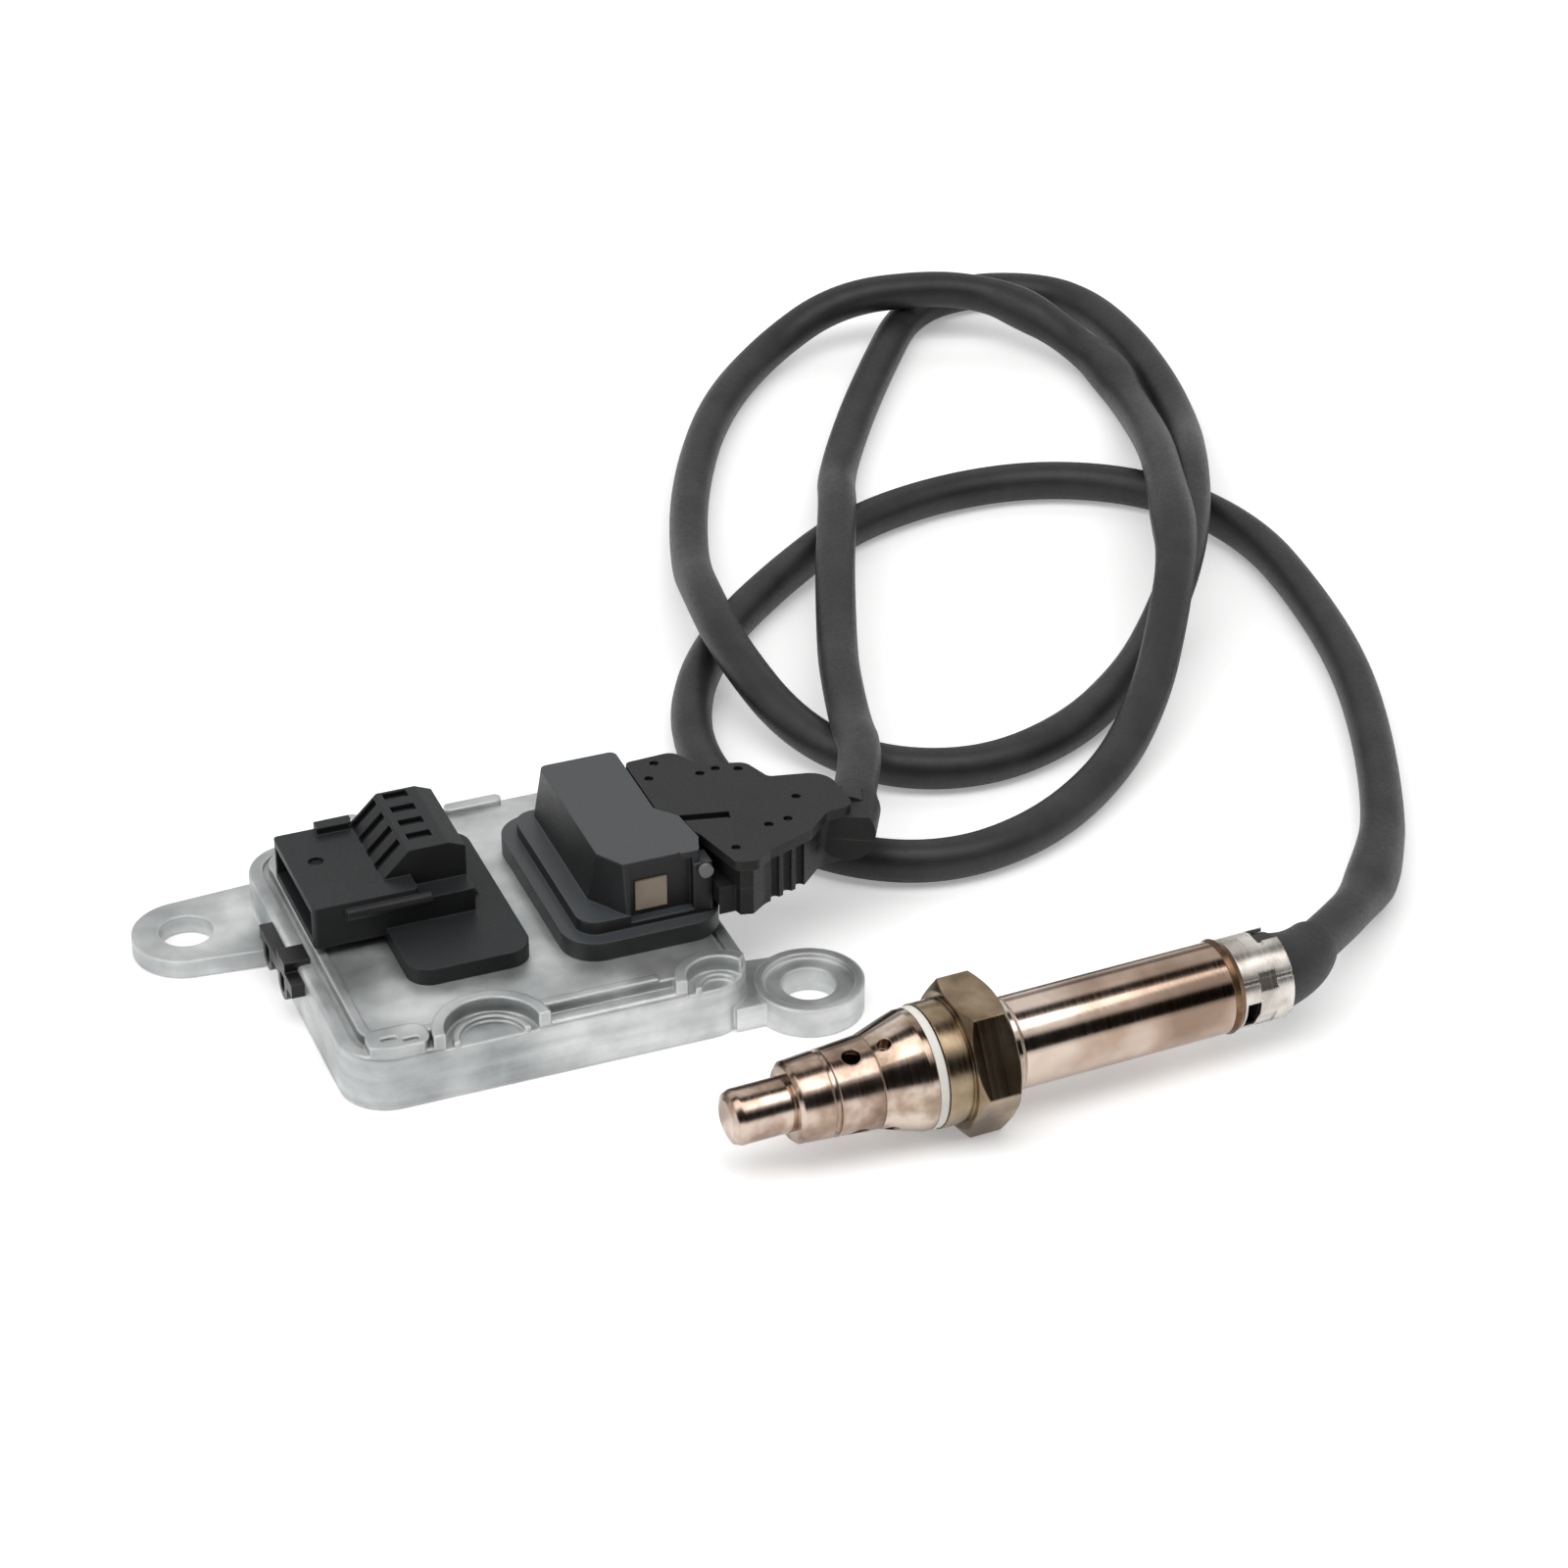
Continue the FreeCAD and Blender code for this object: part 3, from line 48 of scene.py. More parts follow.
# settings go to sockets or, where no socket has the name, to properties; feeds are links
def addNode(tree, kind, settings=None, feeds=None):
    node = tree.nodes.new("ShaderNode" + kind)
    for name, value in (settings or {}).items():
        if name == "stops":
            stops = node.color_ramp.elements
            stops.remove(stops[1])
            stops[0].position = value[0][0]
            for place, _ in value[1:]:
                stops.new(place)
            for stop, (_, colour) in zip(stops, value):
                stop.color = linearColour(colour)
        elif isinstance(name, int) or name in node.inputs:
            node.inputs[name].default_value = value
        else:
            setattr(node, name, value)
    for name, source in (feeds or {}).items():
        tree.links.new(source, node.inputs[name])
    return node


def startMaterial(name, settings):
    material = bpy.data.materials.new(name)
    material.use_nodes = True
    tree = material.node_tree
    shader = tree.nodes["Principled BSDF"]
    for socket, value in settings.items():
        shader.inputs[socket].default_value = value
    return material, tree, shader


# camera at the photograph's angle
photoCamera = {
    "aim": (64.5 * mm, 34.2 * mm, 0.0),  # the floor point at the middle of the picture
    "distance": 756 * mm,
    "elevation": 32.0,
    "turn": 21.5,  # from +Y towards +X, in degrees
    "focalPixels": 4400,
    "imagePixels": 1600,
    "sensor": 36.0,
    "clip": (0.01, 20.0),
}


def placeCamera(view):
    up, turn = math.radians(view["elevation"]), math.radians(view["turn"])
    looking = Vector((math.sin(turn) * math.cos(up), math.cos(turn) * math.cos(up), -math.sin(up)))
    data = bpy.data.cameras.new("photoCamera")
    data.sensor_width = view["sensor"]
    data.lens = view["focalPixels"] / view["imagePixels"] * view["sensor"]
    data.clip_start, data.clip_end = view["clip"]
    camera = bpy.data.objects.new("photoCamera", data)
    camera.location = Vector(view["aim"]) - looking * view["distance"]
    camera.rotation_mode = "QUATERNION"
    camera.rotation_quaternion = looking.to_track_quat("-Z", "Y")
    bpy.context.scene.collection.objects.link(camera)
    bpy.context.scene.camera = camera


placeCamera(photoCamera)
print("camera placed")


# sensor cable: the route's points, in metres, on the table as in the photograph
low = 3.7 * mm  # axis of a strand on the table
high = 11.4 * mm  # axis of a strand that lies on another one
sensorCable = {
    "radius": 3.7 * mm,
    "length": 1.37,
    "around": 6,  # how finely the sleeve is divided round and along
    "along": 12,
    "route": [
        (.0615, -.0045, .0200), (.0665, .0050, .0190), (.0715, .0165, .0165),
        (.0755, .0300, high), (.0800, .0460, high), (.0855, .0614, .0085),
        (.0948, .0855, high), (.1045, .1078, high), (.1130, .1300, low),
        (.1260, .1520, low), (.1400, .1730, low), (.1550, .1940, low),
        (.1709, .1990, low), (.1858, .1931, low), (.1919, .1825, low),
        (.1927, .1631, low), (.1903, .1437, low), (.1855, .1242, .0039),
        (.1745, .0991, high), (.1657, .0799, .0116), (.1549, .0617, .0105),
        (.1453, .0524, .0039), (.1340, .0400, low), (.1160, .0260, low),
        (.0960, .0205, low), (.0790, .0280, low), (.0692, .0425, .0058),
        (.0655, .0640, high), (.0680, .0840, high), (.0729, .1045, .0060),
        (.0850, .1370, low), (.1010, .1660, low), (.1200, .1870, low),
        (.1383, .1919, .0105), (.1580, .1882, high), (.1691, .1835, .0100),
        (.1746, .1766, .0085), (.1787, .1699, .0065), (.1820, .1603, .0042),
        (.1820, .1498, .0047), (.1804, .1380, .0040), (.1702, .1056, .0125),
        (.1616, .0833, .0166), (.1553, .0675, .0182), (.1496, .0539, .0185),
        (.1414, .0404, .0140), (.1313, .0260, .0080), (.1170, .0115, low),
        (.0970, -.0020, low), (.0770, -.0050, low), (.0605, .0055, low),
        (.0530, .0230, low), (.0510, .0420, low), (.0570, .0620, low),
        (.0700, .0810, low), (.0880, .0970, low), (.1080, .1115, low),
        (.1310, .1175, low), (.1530, .1150, low), (.1710, .1020, low),
        (.1790, .0800, low), (.1775, .0550, low), (.1730, .0290, low),
        (.1645, .0040, low), (.1540, -.0195, low), (.1475, -.0295, .0040),
        (.1415, -.0380, .0050), (.1355, -.0445, .0066), (.1285, -.0515, .0090),
        (.1185, -.0595, .0110),
    ],
    "swells": {36: 1.22, 39: 1.28, 43: 1.18, 65: 1.15, 66: 1.28},  # where the sleeve bunches up on a bend
}


def layCable(cable):
    data = bpy.data.curves.new("sensorCable", "CURVE")
    data.dimensions = "3D"
    data.bevel_depth = 1.0  # so that each point's radius is the sleeve's real one
    data.bevel_resolution = cable["around"]
    data.use_fill_caps = True
    spline = data.splines.new("NURBS")
    spline.points.add(len(cable["route"]) - 1)
    for point, place in zip(spline.points, cable["route"]):
        point.co = (*place, 1.0)
        point.radius = cable["radius"]
    for number, swell in cable["swells"].items():
        spline.points[number].radius *= swell
    spline.order_u = 3
    spline.use_endpoint_u = True
    spline.resolution_u = cable["along"]
    piece = bpy.data.objects.new("sensorCable", data)
    bpy.context.scene.collection.objects.link(piece)
    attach(piece, "sensor")
    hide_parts("sensor_cable")
    return piece


cable = layCable(sensorCable)
print("cable laid")


# how far the rounded-off normal turns from the face's own says how near an edge is, where edges are
# lightened, partly by handling wear and partly as a painted highlight
edgeTurn = {"wornAndHighlit": 0.86, "whole": 0.995}  # cosine of that turn


# mask for the lightened edges: partly wear, partly a painted edge highlight
def wornAndHighlitEdges(tree, soft, most):
    surface = addNode(tree, "NewGeometry")
    turned = addNode(
        tree,
        "VectorMath",
        {"operation": "DOT_PRODUCT"},
        {0: soft.outputs["Normal"], 1: surface.outputs["Normal"]},
    )
    edgeWearAndHighlight = addNode(
        tree,
        "MapRange",
        {"From Min": edgeTurn["wornAndHighlit"], "From Max": edgeTurn["whole"], "To Min": most, "To Max": 0.0},
        {"Value": turned.outputs["Value"]},
    )
    return edgeWearAndHighlight.outputs["Result"]


# moulded and pressed materials: a body colour that drifts a little, under a fine grain. Real spark-eroded
# grain is about 0.1 mm, and it is drawn at 0.3 to 0.8 mm so that it shows.
moulded = {
    "drift": 9 * mm,
    "paintedSheenFrom": 0.55,  # height of the normal where a painted sheen starts to lighten a face that looks up
    "paintedSheenFull": 0.95,
    # edge colour, partly wear and partly a painted highlight
    "wornAndHighlit": "#55585b",
    "roughSpread": 0.06,
    "grainDepth": 0.05 * mm,
}


def mouldedPlastic(look):
    settings = {"IOR": 1.5, "Specular IOR Level": look.get("gloss", 0.5)}
    material, tree, shader = startMaterial(look["name"], settings)
    place = addNode(tree, "TexCoord")
    cloud = addNode(
        tree, "TexNoise", {"Scale": 1 / moulded["drift"], "Detail": 3.0}, {"Vector": place.outputs["Object"]}
    )
    colour = addNode(
        tree,
        "ValToRGB",
        {"stops": [(0.35, look["dark"]), (0.65, look["light"])]},
        {"Fac": cloud.outputs["Fac"]},
    )
    # painted sheen: faces that look up are lightened towards a sheen colour, standing in for the overhead
    # light
    axes = addNode(tree, "SeparateXYZ", {}, {0: place.outputs["Normal"]})
    paintedSheenMask = addNode(
        tree,
        "MapRange",
        {"From Min": moulded["paintedSheenFrom"], "From Max": moulded["paintedSheenFull"], "To Max": look.get("paintedSheenShare", 0.0)},
        {"Value": axes.outputs["Z"]},
    )
    withPaintedSheen = addNode(
        tree,
        "Mix",
        {"data_type": "RGBA", 7: linearColour(look.get("paintedSheenColour", look["light"]))},
        {0: paintedSheenMask.outputs["Result"], 6: colour.outputs["Color"]},
    )
    soft = addNode(tree, "Bevel", {"samples": 4, "Radius": look["edge"] * mm})
    # edges lightened, partly wear and partly a painted highlight
    wornAndHighlit = addNode(
        tree,
        "Mix",
        {"data_type": "RGBA", 7: linearColour(moulded["wornAndHighlit"])},
        {0: wornAndHighlitEdges(tree, soft, look.get("edgeWearAndHighlight", 0.0)), 6: withPaintedSheen.outputs[2]},
    )
    tree.links.new(wornAndHighlit.outputs[2], shader.inputs["Base Color"])
    grain = addNode(
        tree,
        "TexNoise",
        {"Scale": 1 / (look["grain"] * mm), "Detail": 2.0},
        {"Vector": place.outputs["Object"]},
    )
    least, most = look["rough"] - moulded["roughSpread"], look["rough"] + moulded["roughSpread"]
    rough = addNode(
        tree,
        "MapRange",
        {"From Min": 0.3, "From Max": 0.7, "To Min": least, "To Max": most},
        {"Value": grain.outputs["Fac"]},
    )
    tree.links.new(rough.outputs["Result"], shader.inputs["Roughness"])
    bump = addNode(
        tree,
        "Bump",
        {"Strength": look["bump"], "Distance": moulded["grainDepth"]},
        {"Height": grain.outputs["Fac"], "Normal": soft.outputs["Normal"]},
    )
    tree.links.new(bump.outputs["Normal"], shader.inputs["Normal"])
    return material


# aluminium: pale grey with a blasted skin, cloudy patches, faint level streaks and brighter edges, partly
# rubbed wear and partly a painted highlight.
# The skin's grain is about 0.2 mm, and it is drawn a little coarser so that it shows.
aluminium = {
    "patch": 14 * mm,
    "streak": (25 * mm, 25 * mm, 2.381 * mm),
    "streakShare": 0.25,
    # edge colour, partly wear and partly a painted highlight
    "wornAndHighlit": "#f4f4f2",
    "roughSpread": 0.08,
    "grainDepth": 0.08 * mm,
}


def castMetal(look):
    material, tree, shader = startMaterial(look["name"], {"Metallic": look["metallic"]})
    place = addNode(tree, "TexCoord")
    cloud = addNode(
        tree,
        "TexNoise",
        {"Scale": 1 / aluminium["patch"], "Detail": 4.0},
        {"Vector": place.outputs["Object"]},
    )
    stretched = addNode(
        tree,
        "Mapping",
        {"Scale": [1 / size for size in aluminium["streak"]]},
        {"Vector": place.outputs["Object"]},
    )
    streaks = addNode(
        tree, "TexNoise", {"Scale": 1.0, "Detail": 3.0}, {"Vector": stretched.outputs["Vector"]}
    )
    both = addNode(
        tree,
        "Mix",
        {"data_type": "FLOAT", 0: aluminium["streakShare"]},
        {2: cloud.outputs["Fac"], 3: streaks.outputs["Fac"]},
    )
    colour = addNode(
        tree,
        "ValToRGB",
        {"stops": [(0.36, look["dark"]), (0.52, look["middle"]), (0.66, look["light"])]},
        {"Fac": both.outputs[0]},
    )
    soft = addNode(tree, "Bevel", {"samples": 4, "Radius": look["edge"] * mm})
    # edges lightened, partly wear and partly a painted highlight
    wornAndHighlit = addNode(
        tree,
        "Mix",
        {"data_type": "RGBA", 7: linearColour(aluminium["wornAndHighlit"])},
        {0: wornAndHighlitEdges(tree, soft, look["edgeWearAndHighlight"]), 6: colour.outputs["Color"]},
    )
    tree.links.new(wornAndHighlit.outputs[2], shader.inputs["Base Color"])
    least, most = look["rough"] - aluminium["roughSpread"], look["rough"] + aluminium["roughSpread"]
    rough = addNode(
        tree,
        "MapRange",
        {"From Min": 0.35, "From Max": 0.65, "To Min": least, "To Max": most},
        {"Value": cloud.outputs["Fac"]},
    )
    tree.links.new(rough.outputs["Result"], shader.inputs["Roughness"])
    grain = addNode(
        tree,
        "TexNoise",
        {"Scale": 1 / (look["grain"] * mm), "Detail": 3.0},
        {"Vector": place.outputs["Object"]},
    )
    bump = addNode(
        tree,
        "Bump",
        {"Strength": look["bump"], "Distance": aluminium["grainDepth"]},
        {"Height": grain.outputs["Fac"], "Normal": soft.outputs["Normal"]},
    )
    tree.links.new(bump.outputs["Normal"], shader.inputs["Normal"])
    return material


# turned and drawn steel: long reflections broken by fine rings round the axis, with heat tints along it.
# Real tool marks are about 0.1 mm apart, and they are drawn at 0.3 to 0.5 mm so that they show.
probeAxis = {"tip": (14.7 * mm, -68.3 * mm, 11 * mm), "turn": 3.0}  # turned about Z, in degrees
turning = {
    "ringReach": 50.0,  # millimetres round the axis over which a ring keeps its tone
    "roughSpread": 0.05,
    "ringDepth": 0.03 * mm,
}


def turnedSteel(look):
    material, tree, shader = startMaterial(look["name"], {"Metallic": 1.0})
    place = addNode(tree, "TexCoord")
    onAxis = addNode(
        tree,
        "Mapping",
        {
            "vector_type": "TEXTURE",
            "Location": probeAxis["tip"],
            "Rotation": (0, 0, math.radians(probeAxis["turn"])),
            "Scale": (mm, mm, mm),
        },
        {"Vector": place.outputs["Object"]},
    )  # from here on in millimetres, X along the probe
    cloud = addNode(
        tree, "TexNoise", {"Scale": 1 / look["patch"], "Detail": 3.0}, {"Vector": onAxis.outputs["Vector"]}
    )
    colour = addNode(
        tree,
        "ValToRGB",
        {"stops": [(0.34, look["dark"]), (0.5, look["middle"]), (0.66, look["light"])]},
        {"Fac": cloud.outputs["Fac"]},
    )
    tree.links.new(colour.outputs["Color"], shader.inputs["Base Color"])
    across = 1 / turning["ringReach"]
    squeezed = addNode(
        tree, "Mapping", {"Scale": (1 / look["ring"], across, across)}, {"Vector": onAxis.outputs["Vector"]}
    )
    rings = addNode(tree, "TexNoise", {"Scale": 1.0, "Detail": 2.0}, {"Vector": squeezed.outputs["Vector"]})
    least, most = look["rough"] - turning["roughSpread"], look["rough"] + turning["roughSpread"]
    rough = addNode(
        tree,
        "MapRange",
        {"From Min": 0.3, "From Max": 0.7, "To Min": least, "To Max": most},
        {"Value": rings.outputs["Fac"]},
    )
    tree.links.new(rough.outputs["Result"], shader.inputs["Roughness"])
    soft = addNode(tree, "Bevel", {"samples": 4, "Radius": look["edge"] * mm})
    bump = addNode(
        tree,
        "Bump",
        {"Strength": look["bump"], "Distance": turning["ringDepth"]},
        {"Height": rings.outputs["Fac"], "Normal": soft.outputs["Normal"]},
    )
    tree.links.new(bump.outputs["Normal"], shader.inputs["Normal"])
    return material


def dress(material, *names):
    for name in names:
        slots = nodes[name].data.materials
        slots.clear()
        slots.append(material)


# module: die-cast aluminium housing, shot blasted, so pale and matt with a sandy grain, and edges lightened
# partly by wear and partly as a painted highlight
housing = {
    "name": "castAluminium",
    "dark": "#96999a", "middle": "#bfc2c2", "light": "#e4e6e6",
    "metallic": 0.8, "rough": 0.42, "grain": 0.5, "edge": 0.7, "bump": 0.35, "edgeWearAndHighlight": 0.7,
}
dress(castMetal(housing), "module_housing")

# base plate: rolled aluminium sheet, smoother and a little darker than the casting, its edges lightened
# partly by wear and partly as a painted highlight
plate = {
    "name": "rolledAluminium",
    "dark": "#8f9496", "middle": "#a9adaf", "light": "#b9bdbf",
    "metallic": 0.9, "rough": 0.38, "grain": 0.3, "edge": 0.2, "bump": 0.15, "edgeWearAndHighlight": 0.4,
}
dress(castMetal(plate), "base_plate")

# header and sensor socket: glass-filled nylon, near black, with a painted lighter sheen on the faces that
# look up and edges lightened partly by wear and partly as a painted highlight
header = {
    "name": "glassFilledNylon", "dark": "#131415", "light": "#1a1b1d", "paintedSheenColour": "#2c2e30", "paintedSheenShare": 0.5,
    "gloss": 0.3, "edgeWearAndHighlight": 0.35, "rough": 0.46, "grain": 0.4, "edge": 0.35, "bump": 0.25,
}
dress(mouldedPlastic(header), "connector_header")
socket = {
    "name": "socketNylon", "dark": "#131415", "light": "#1a1b1d", "paintedSheenColour": "#44484b", "paintedSheenShare": 0.8,
    "edgeWearAndHighlight": 0.35, "rough": 0.42, "grain": 0.4, "edge": 0.45, "bump": 0.2,
}
dress(mouldedPlastic(socket), "sensor_socket")

# plug insert: the same nylon with no painted top sheen, since it is inside
plug = {
    "name": "plugNylon", "dark": "#141415", "light": "#1b1b1c",
    "rough": 0.5, "grain": 0.4, "edge": 0.2, "bump": 0.2,
}
dress(mouldedPlastic(plug), "plug_insert")

# hood: polypropylene, blacker and more matt than the nylon, with a painted lighter sheen on the faces that
# look up and edges lightened partly by wear and partly as a painted highlight
hood = {
    "name": "hoodPolypropylene", "dark": "#111111", "light": "#191919", "paintedSheenColour": "#2a2a2a", "paintedSheenShare": 0.5,
    "gloss": 0.35, "edgeWearAndHighlight": 0.35, "rough": 0.5, "grain": 0.5, "edge": 0.3, "bump": 0.3,
}
dress(mouldedPlastic(hood), "hood_cover", "hood_base")

# clip: black acetal, slightly waxy, its edges lightened partly by wear and partly as a painted highlight
clip = {
    "name": "clipAcetal", "dark": "#101010", "light": "#181818",
    "edgeWearAndHighlight": 0.35, "rough": 0.35, "grain": 0.6, "edge": 0.3, "bump": 0.15,
}
dress(mouldedPlastic(clip), "side_clip")

# window pad and stud: beige polyester, and grey acrylic with a harder shine
pad = {
    "name": "mouldedPolyester", "dark": "#8c7f70", "light": "#a89a8a",
    "rough": 0.5, "grain": 0.6, "edge": 0.25, "bump": 0.25,
}
dress(mouldedPlastic(pad), "window_pad")
studLook = {
    "name": "mouldedAcrylic", "dark": "#6b6b6b", "light": "#7d7d7d",
    "rough": 0.3, "grain": 0.8, "edge": 0.25, "bump": 0.05,
}
dress(mouldedPlastic(studLook), "latch_stud")

# rubber: boot, grommet and seals, dull with a soft highlight
boot = {
    "name": "mouldedRubber", "dark": "#1b1b1b", "light": "#262626",
    "rough": 0.55, "grain": 0.6, "edge": 0.3, "bump": 0.3,
}
dress(mouldedPlastic(boot), "cable_boot", "cable_grommet", "header_seal", "socket_seal")

# board and chips: green solder mask over laminate, black epoxy
board = {
    "name": "boardLaminate", "dark": "#14502c", "light": "#1b6236",
    "rough": 0.3, "grain": 0.8, "edge": 0.1, "bump": 0.1,
}
dress(mouldedPlastic(board), "circuit_board")
chips = {
    "name": "chipEpoxy", "dark": "#131314", "light": "#1c1c1e",
    "rough": 0.5, "grain": 0.3, "edge": 0.1, "bump": 0.2,
}
dress(mouldedPlastic(chips), "board_chips")

# ceramics: fired alumina, white and chalky, and pressed talc
ceramic = {
    "name": "firedAlumina", "dark": "#d8d5cc", "light": "#e6e4dd",
    "rough": 0.6, "grain": 0.4, "edge": 0.15, "bump": 0.3,
}
dress(mouldedPlastic(ceramic), "front_bush", "rear_bush", "sensing_element", "contact_holder")
packing = {
    "name": "pressedTalc", "dark": "#c9c5b8", "light": "#d9d6cb",
    "rough": 0.8, "grain": 0.3, "edge": 0.15, "bump": 0.5,
}
dress(mouldedPlastic(packing), "talc_packing")

# white ring: filled fluoropolymer, off-white and matt
ring = {
    "name": "whiteFluoropolymer", "dark": "#dddbd3", "light": "#eae8e2",
    "rough": 0.45, "grain": 0.5, "edge": 0.3, "bump": 0.2,
}
dress(mouldedPlastic(ring), "seal_ring")

# contacts: brass under thin tin, pale yellow
contacts = {
    "name": "tinnedBrass", "dark": "#b79b62", "middle": "#c9b07a", "light": "#d8c79b",
    "patch": 3.0, "ring": 0.4, "rough": 0.25, "edge": 0.1, "bump": 0.1,
}
dress(turnedSteel(contacts), "header_pins", "socket_pins")

# nose: drawn stainless steel in the hot gas, so shiny under mottled rose and brown tints
noseSteel = {
    "name": "heatTintedStainless", "dark": "#735f52", "middle": "#a08a7b", "light": "#cdbbae",
    "patch": 7.0, "ring": 0.35, "rough": 0.18, "edge": 0.5, "bump": 0.25,
}
dress(turnedSteel(noseSteel), "nose_cap", "protection_tube")

# inner tube: the same steel with more scale on it, darker and duller
innerSteel = {
    "name": "scaledStainless", "dark": "#6b625b", "middle": "#857a71", "light": "#a1968d",
    "patch": 6.0, "ring": 0.35, "rough": 0.3, "edge": 0.2, "bump": 0.2,
}
dress(turnedSteel(innerSteel), "inner_tube")

# collar: turned stainless steel, with crisp rings and bright and dark reflections side by side
collarSteel = {
    "name": "turnedStainless", "dark": "#7d6a5b", "middle": "#aa9686", "light": "#d3c5b8",
    "patch": 6.0, "ring": 0.3, "rough": 0.15, "edge": 0.3, "bump": 0.25,
}
dress(turnedSteel(collarSteel), "probe_collar")

# nut: steel hexagon bar, turned at the ends, with an even bronze tint
nutSteel = {
    "name": "bronzedSteel", "dark": "#6d5c49", "middle": "#8c7a63", "light": "#a5937b",
    "patch": 7.0, "ring": 0.5, "rough": 0.24, "edge": 0.4, "bump": 0.2,
}
dress(turnedSteel(nutSteel), "gland_nut")

# bead: steel rolled over at the nut, bright and smooth
beadSteel = {
    "name": "rolledSteel", "dark": "#a3958a", "middle": "#c2b6ab", "light": "#dcd3ca",
    "patch": 6.0, "ring": 0.3, "rough": 0.12, "edge": 0.3, "bump": 0.15,
}
dress(turnedSteel(beadSteel), "retaining_bead")

# rear tube: drawn stainless steel, near mirror smooth, so long streaks with a faint rose tint
rearSteel = {
    "name": "drawnStainless", "dark": "#8f7a6b", "middle": "#ad9787", "light": "#cfbfb2",
    "patch": 16.0, "ring": 0.4, "rough": 0.13, "edge": 0.3, "bump": 0.12,
}
dress(turnedSteel(rearSteel), "rear_tube")

# crimp ring: steel browned all over, half matt
crimpSteel = {
    "name": "brownedSteel", "dark": "#4e3a2b", "middle": "#6b523e", "light": "#8a6f58",
    "patch": 5.0, "ring": 0.3, "rough": 0.3, "edge": 0.3, "bump": 0.2,
}
dress(turnedSteel(crimpSteel), "crimp_ring")

# ferrule: untinted steel with a satin skin
ferruleSteel = {
    "name": "satinSteel", "dark": "#aaa39b", "middle": "#c9c3bc", "light": "#e0dcd6",
    "patch": 5.0, "ring": 0.3, "rough": 0.28, "edge": 0.3, "bump": 0.2,
}
dress(turnedSteel(ferruleSteel), "cable_ferrule")


# cable sleeve: extruded rubber over the cores, dull black-grey with a slightly uneven skin
sleeve = {
    "name": "extrudedRubber", "dark": "#191919", "light": "#282828",
    "rough": 0.5, "grain": 0.7, "edge": 0.1, "bump": 0.35,
}
cable.data.materials.append(mouldedPlastic(sleeve))
print("materials done")


# floor, world and lamps: a plain white table under a soft overhead light
floorLook = {
    "colour": "#f4f4f4",
    "rough": 0.9,
    "gloss": 0.1,
    "size": 4.0,
    "middle": (0.07, 0.05, -0.0002),
    "lift": 0.3,  # light added where the floor is looked at, so that it reads as white
}


def layFloor(look):
    half = look["size"] / 2
    x, y, z = look["middle"]
    mesh = bpy.data.meshes.new("floor")
    corners = [(x + half * a, y + half * b, z) for a, b in ((-1, -1), (1, -1), (1, 1), (-1, 1))]
    mesh.from_pydata(corners, [], [(0, 1, 2, 3)])
    floor = bpy.data.objects.new("floor", mesh)
    bpy.context.scene.collection.objects.link(floor)
    settings = {
        "Base Color": linearColour(look["colour"]),
        "Roughness": look["rough"],
        "Specular IOR Level": look["gloss"],
    }
    material, tree, shader = startMaterial("floorPaper", settings)
    path = addNode(tree, "LightPath")
    mirrored = addNode(
        tree,
        "Math",
        {"operation": "MAXIMUM"},
        {0: path.outputs["Is Glossy Ray"], 1: path.outputs["Is Transmission Ray"]},
    )
    seen = addNode(
        tree, "Math", {"operation": "MAXIMUM"}, {0: path.outputs["Is Camera Ray"], 1: mirrored.outputs[0]}
    )
    lift = addNode(tree, "Math", {"operation": "MULTIPLY", 1: look["lift"]}, {0: seen.outputs[0]})
    glow = addNode(tree, "Emission", {"Color": linearColour("#ffffff")}, {"Strength": lift.outputs[0]})
    both = addNode(tree, "AddShader", {}, {0: shader.outputs[0], 1: glow.outputs[0]})
    tree.links.new(both.outputs[0], tree.nodes["Material Output"].inputs["Surface"])
    mesh.materials.append(material)


# what the steel reflects: bands across the sky, from the horizon on the camera's side (0) over the
# object (0.5) to the horizon behind it (1)
worldLook = {
    "behind": (0.3665, 0.9304),  # horizontal direction from the camera to the object
    "bands": [
        (0.0, "#161412"), (0.27, "#1c1a18"), (0.34, "#f4f2f0"), (0.51, "#ffffff"), (0.56, "#3a3632"),
        (0.62, "#3a3632"), (0.67, "#ffffff"), (0.84, "#ffffff"), (0.89, "#77736f"), (1.0, "#ffffff"),
    ],
    "whiteBelow": 0.05,  # height of the direction under which the world is plain white
    "bandsAbove": 0.15,
    "strength": 1.0,
}


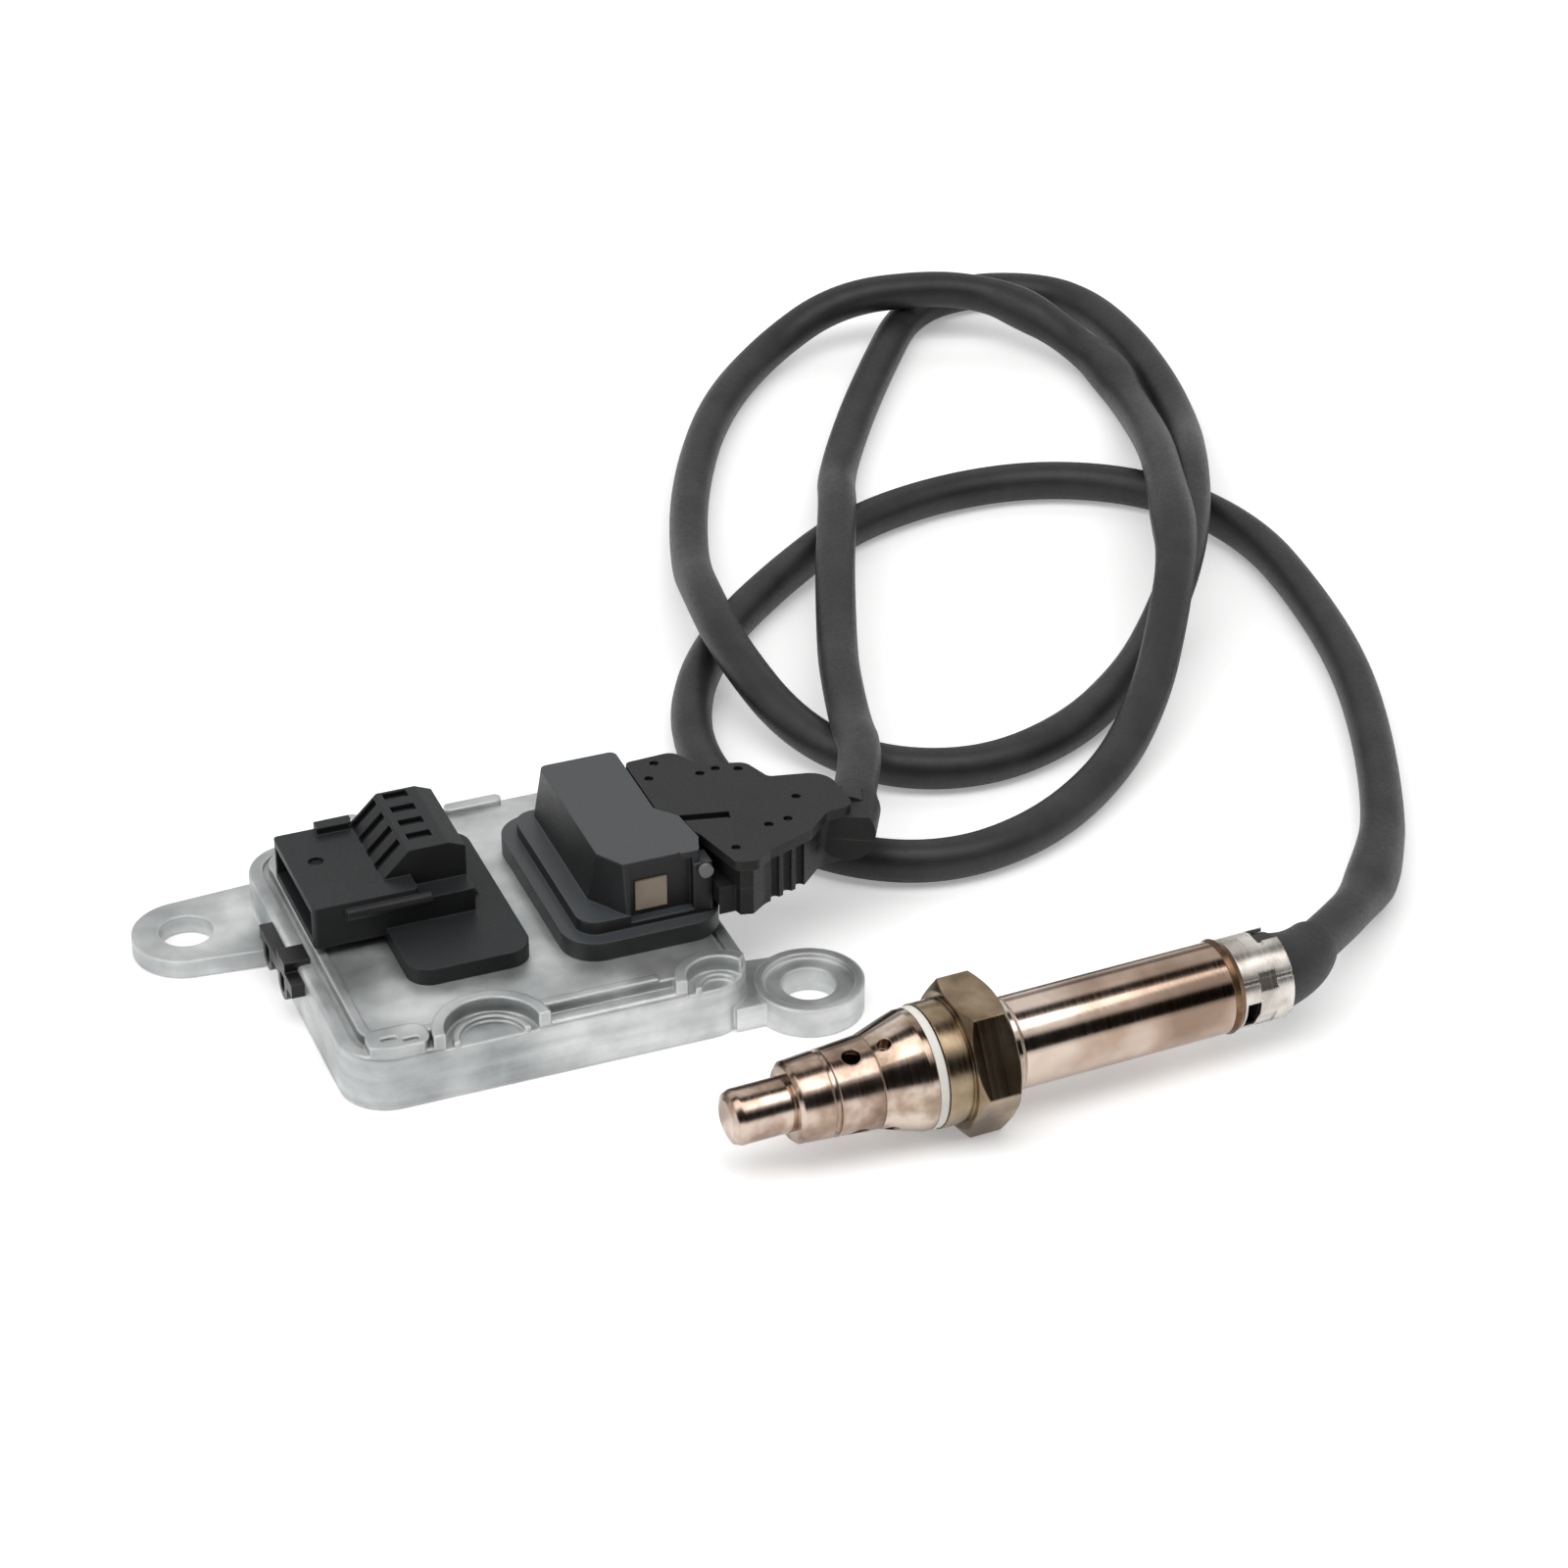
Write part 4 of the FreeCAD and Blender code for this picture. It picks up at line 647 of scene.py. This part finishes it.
def buildWorld(look):
    world = bpy.data.worlds.new("studio")
    bpy.context.scene.world = world
    world.use_nodes = True
    tree = world.node_tree
    background = tree.nodes["Background"]
    direction = addNode(tree, "TexCoord")
    axes = addNode(tree, "SeparateXYZ", {}, {0: direction.outputs["Generated"]})
    alongX = addNode(tree, "Math", {"operation": "MULTIPLY", 1: look["behind"][0]}, {0: axes.outputs["X"]})
    behind = addNode(
        tree,
        "Math",
        {"operation": "MULTIPLY_ADD", 1: look["behind"][1]},
        {0: axes.outputs["Y"], 2: alongX.outputs[0]},
    )
    tilt = addNode(tree, "Math", {"operation": "ARCTAN2"}, {0: behind.outputs[0], 1: axes.outputs["Z"]})
    share = addNode(
        tree, "MapRange", {"From Min": -math.pi / 2, "From Max": math.pi / 2}, {"Value": tilt.outputs[0]}
    )
    bands = addNode(tree, "ValToRGB", {"stops": look["bands"]}, {"Fac": share.outputs[0]})
    skyline = addNode(
        tree,
        "MapRange",
        {"From Min": look["whiteBelow"], "From Max": look["bandsAbove"], "To Min": 1.0, "To Max": 0.0},
        {"Value": axes.outputs["Z"]},
    )
    sky = addNode(
        tree,
        "Mix",
        {"data_type": "RGBA", 7: linearColour("#ffffff")},
        {0: skyline.outputs[0], 6: bands.outputs["Color"]},
    )
    tree.links.new(sky.outputs[2], background.inputs["Color"])
    background.inputs["Strength"].default_value = look["strength"]


# one long lamp over the probe, and a weak one that fills the shadows from the left
lamps = {
    "overhead": {
        "place": (-0.009, -0.24, 0.85),
        "aim": (0.06, -0.065, 0.0),
        "size": (1.1, 0.52),
        "power": 4.0,
    },
    "leftFill": {
        "place": (-0.70, -0.25, 0.55),
        "aim": (0.05, 0.0, 0.0),
        "size": (0.5, 0.5),
        "power": 1.6,
    },
}


def hangLamp(name, look):
    data = bpy.data.lights.new(name, "AREA")
    data.shape = "RECTANGLE"
    data.size, data.size_y = look["size"]
    data.energy = look["power"]
    lamp = bpy.data.objects.new(name, data)
    lamp.location = look["place"]
    lamp.rotation_mode = "QUATERNION"
    lamp.rotation_quaternion = (Vector(look["aim"]) - Vector(look["place"])).to_track_quat("-Z", "Y")
    bpy.context.scene.collection.objects.link(lamp)


layFloor(floorLook)
buildWorld(worldLook)
for name, look in lamps.items():
    hangLamp(name, look)
bpy.context.scene.view_settings.view_transform = "Standard"
print("studio lit")

bpy.context.view_layer.update()
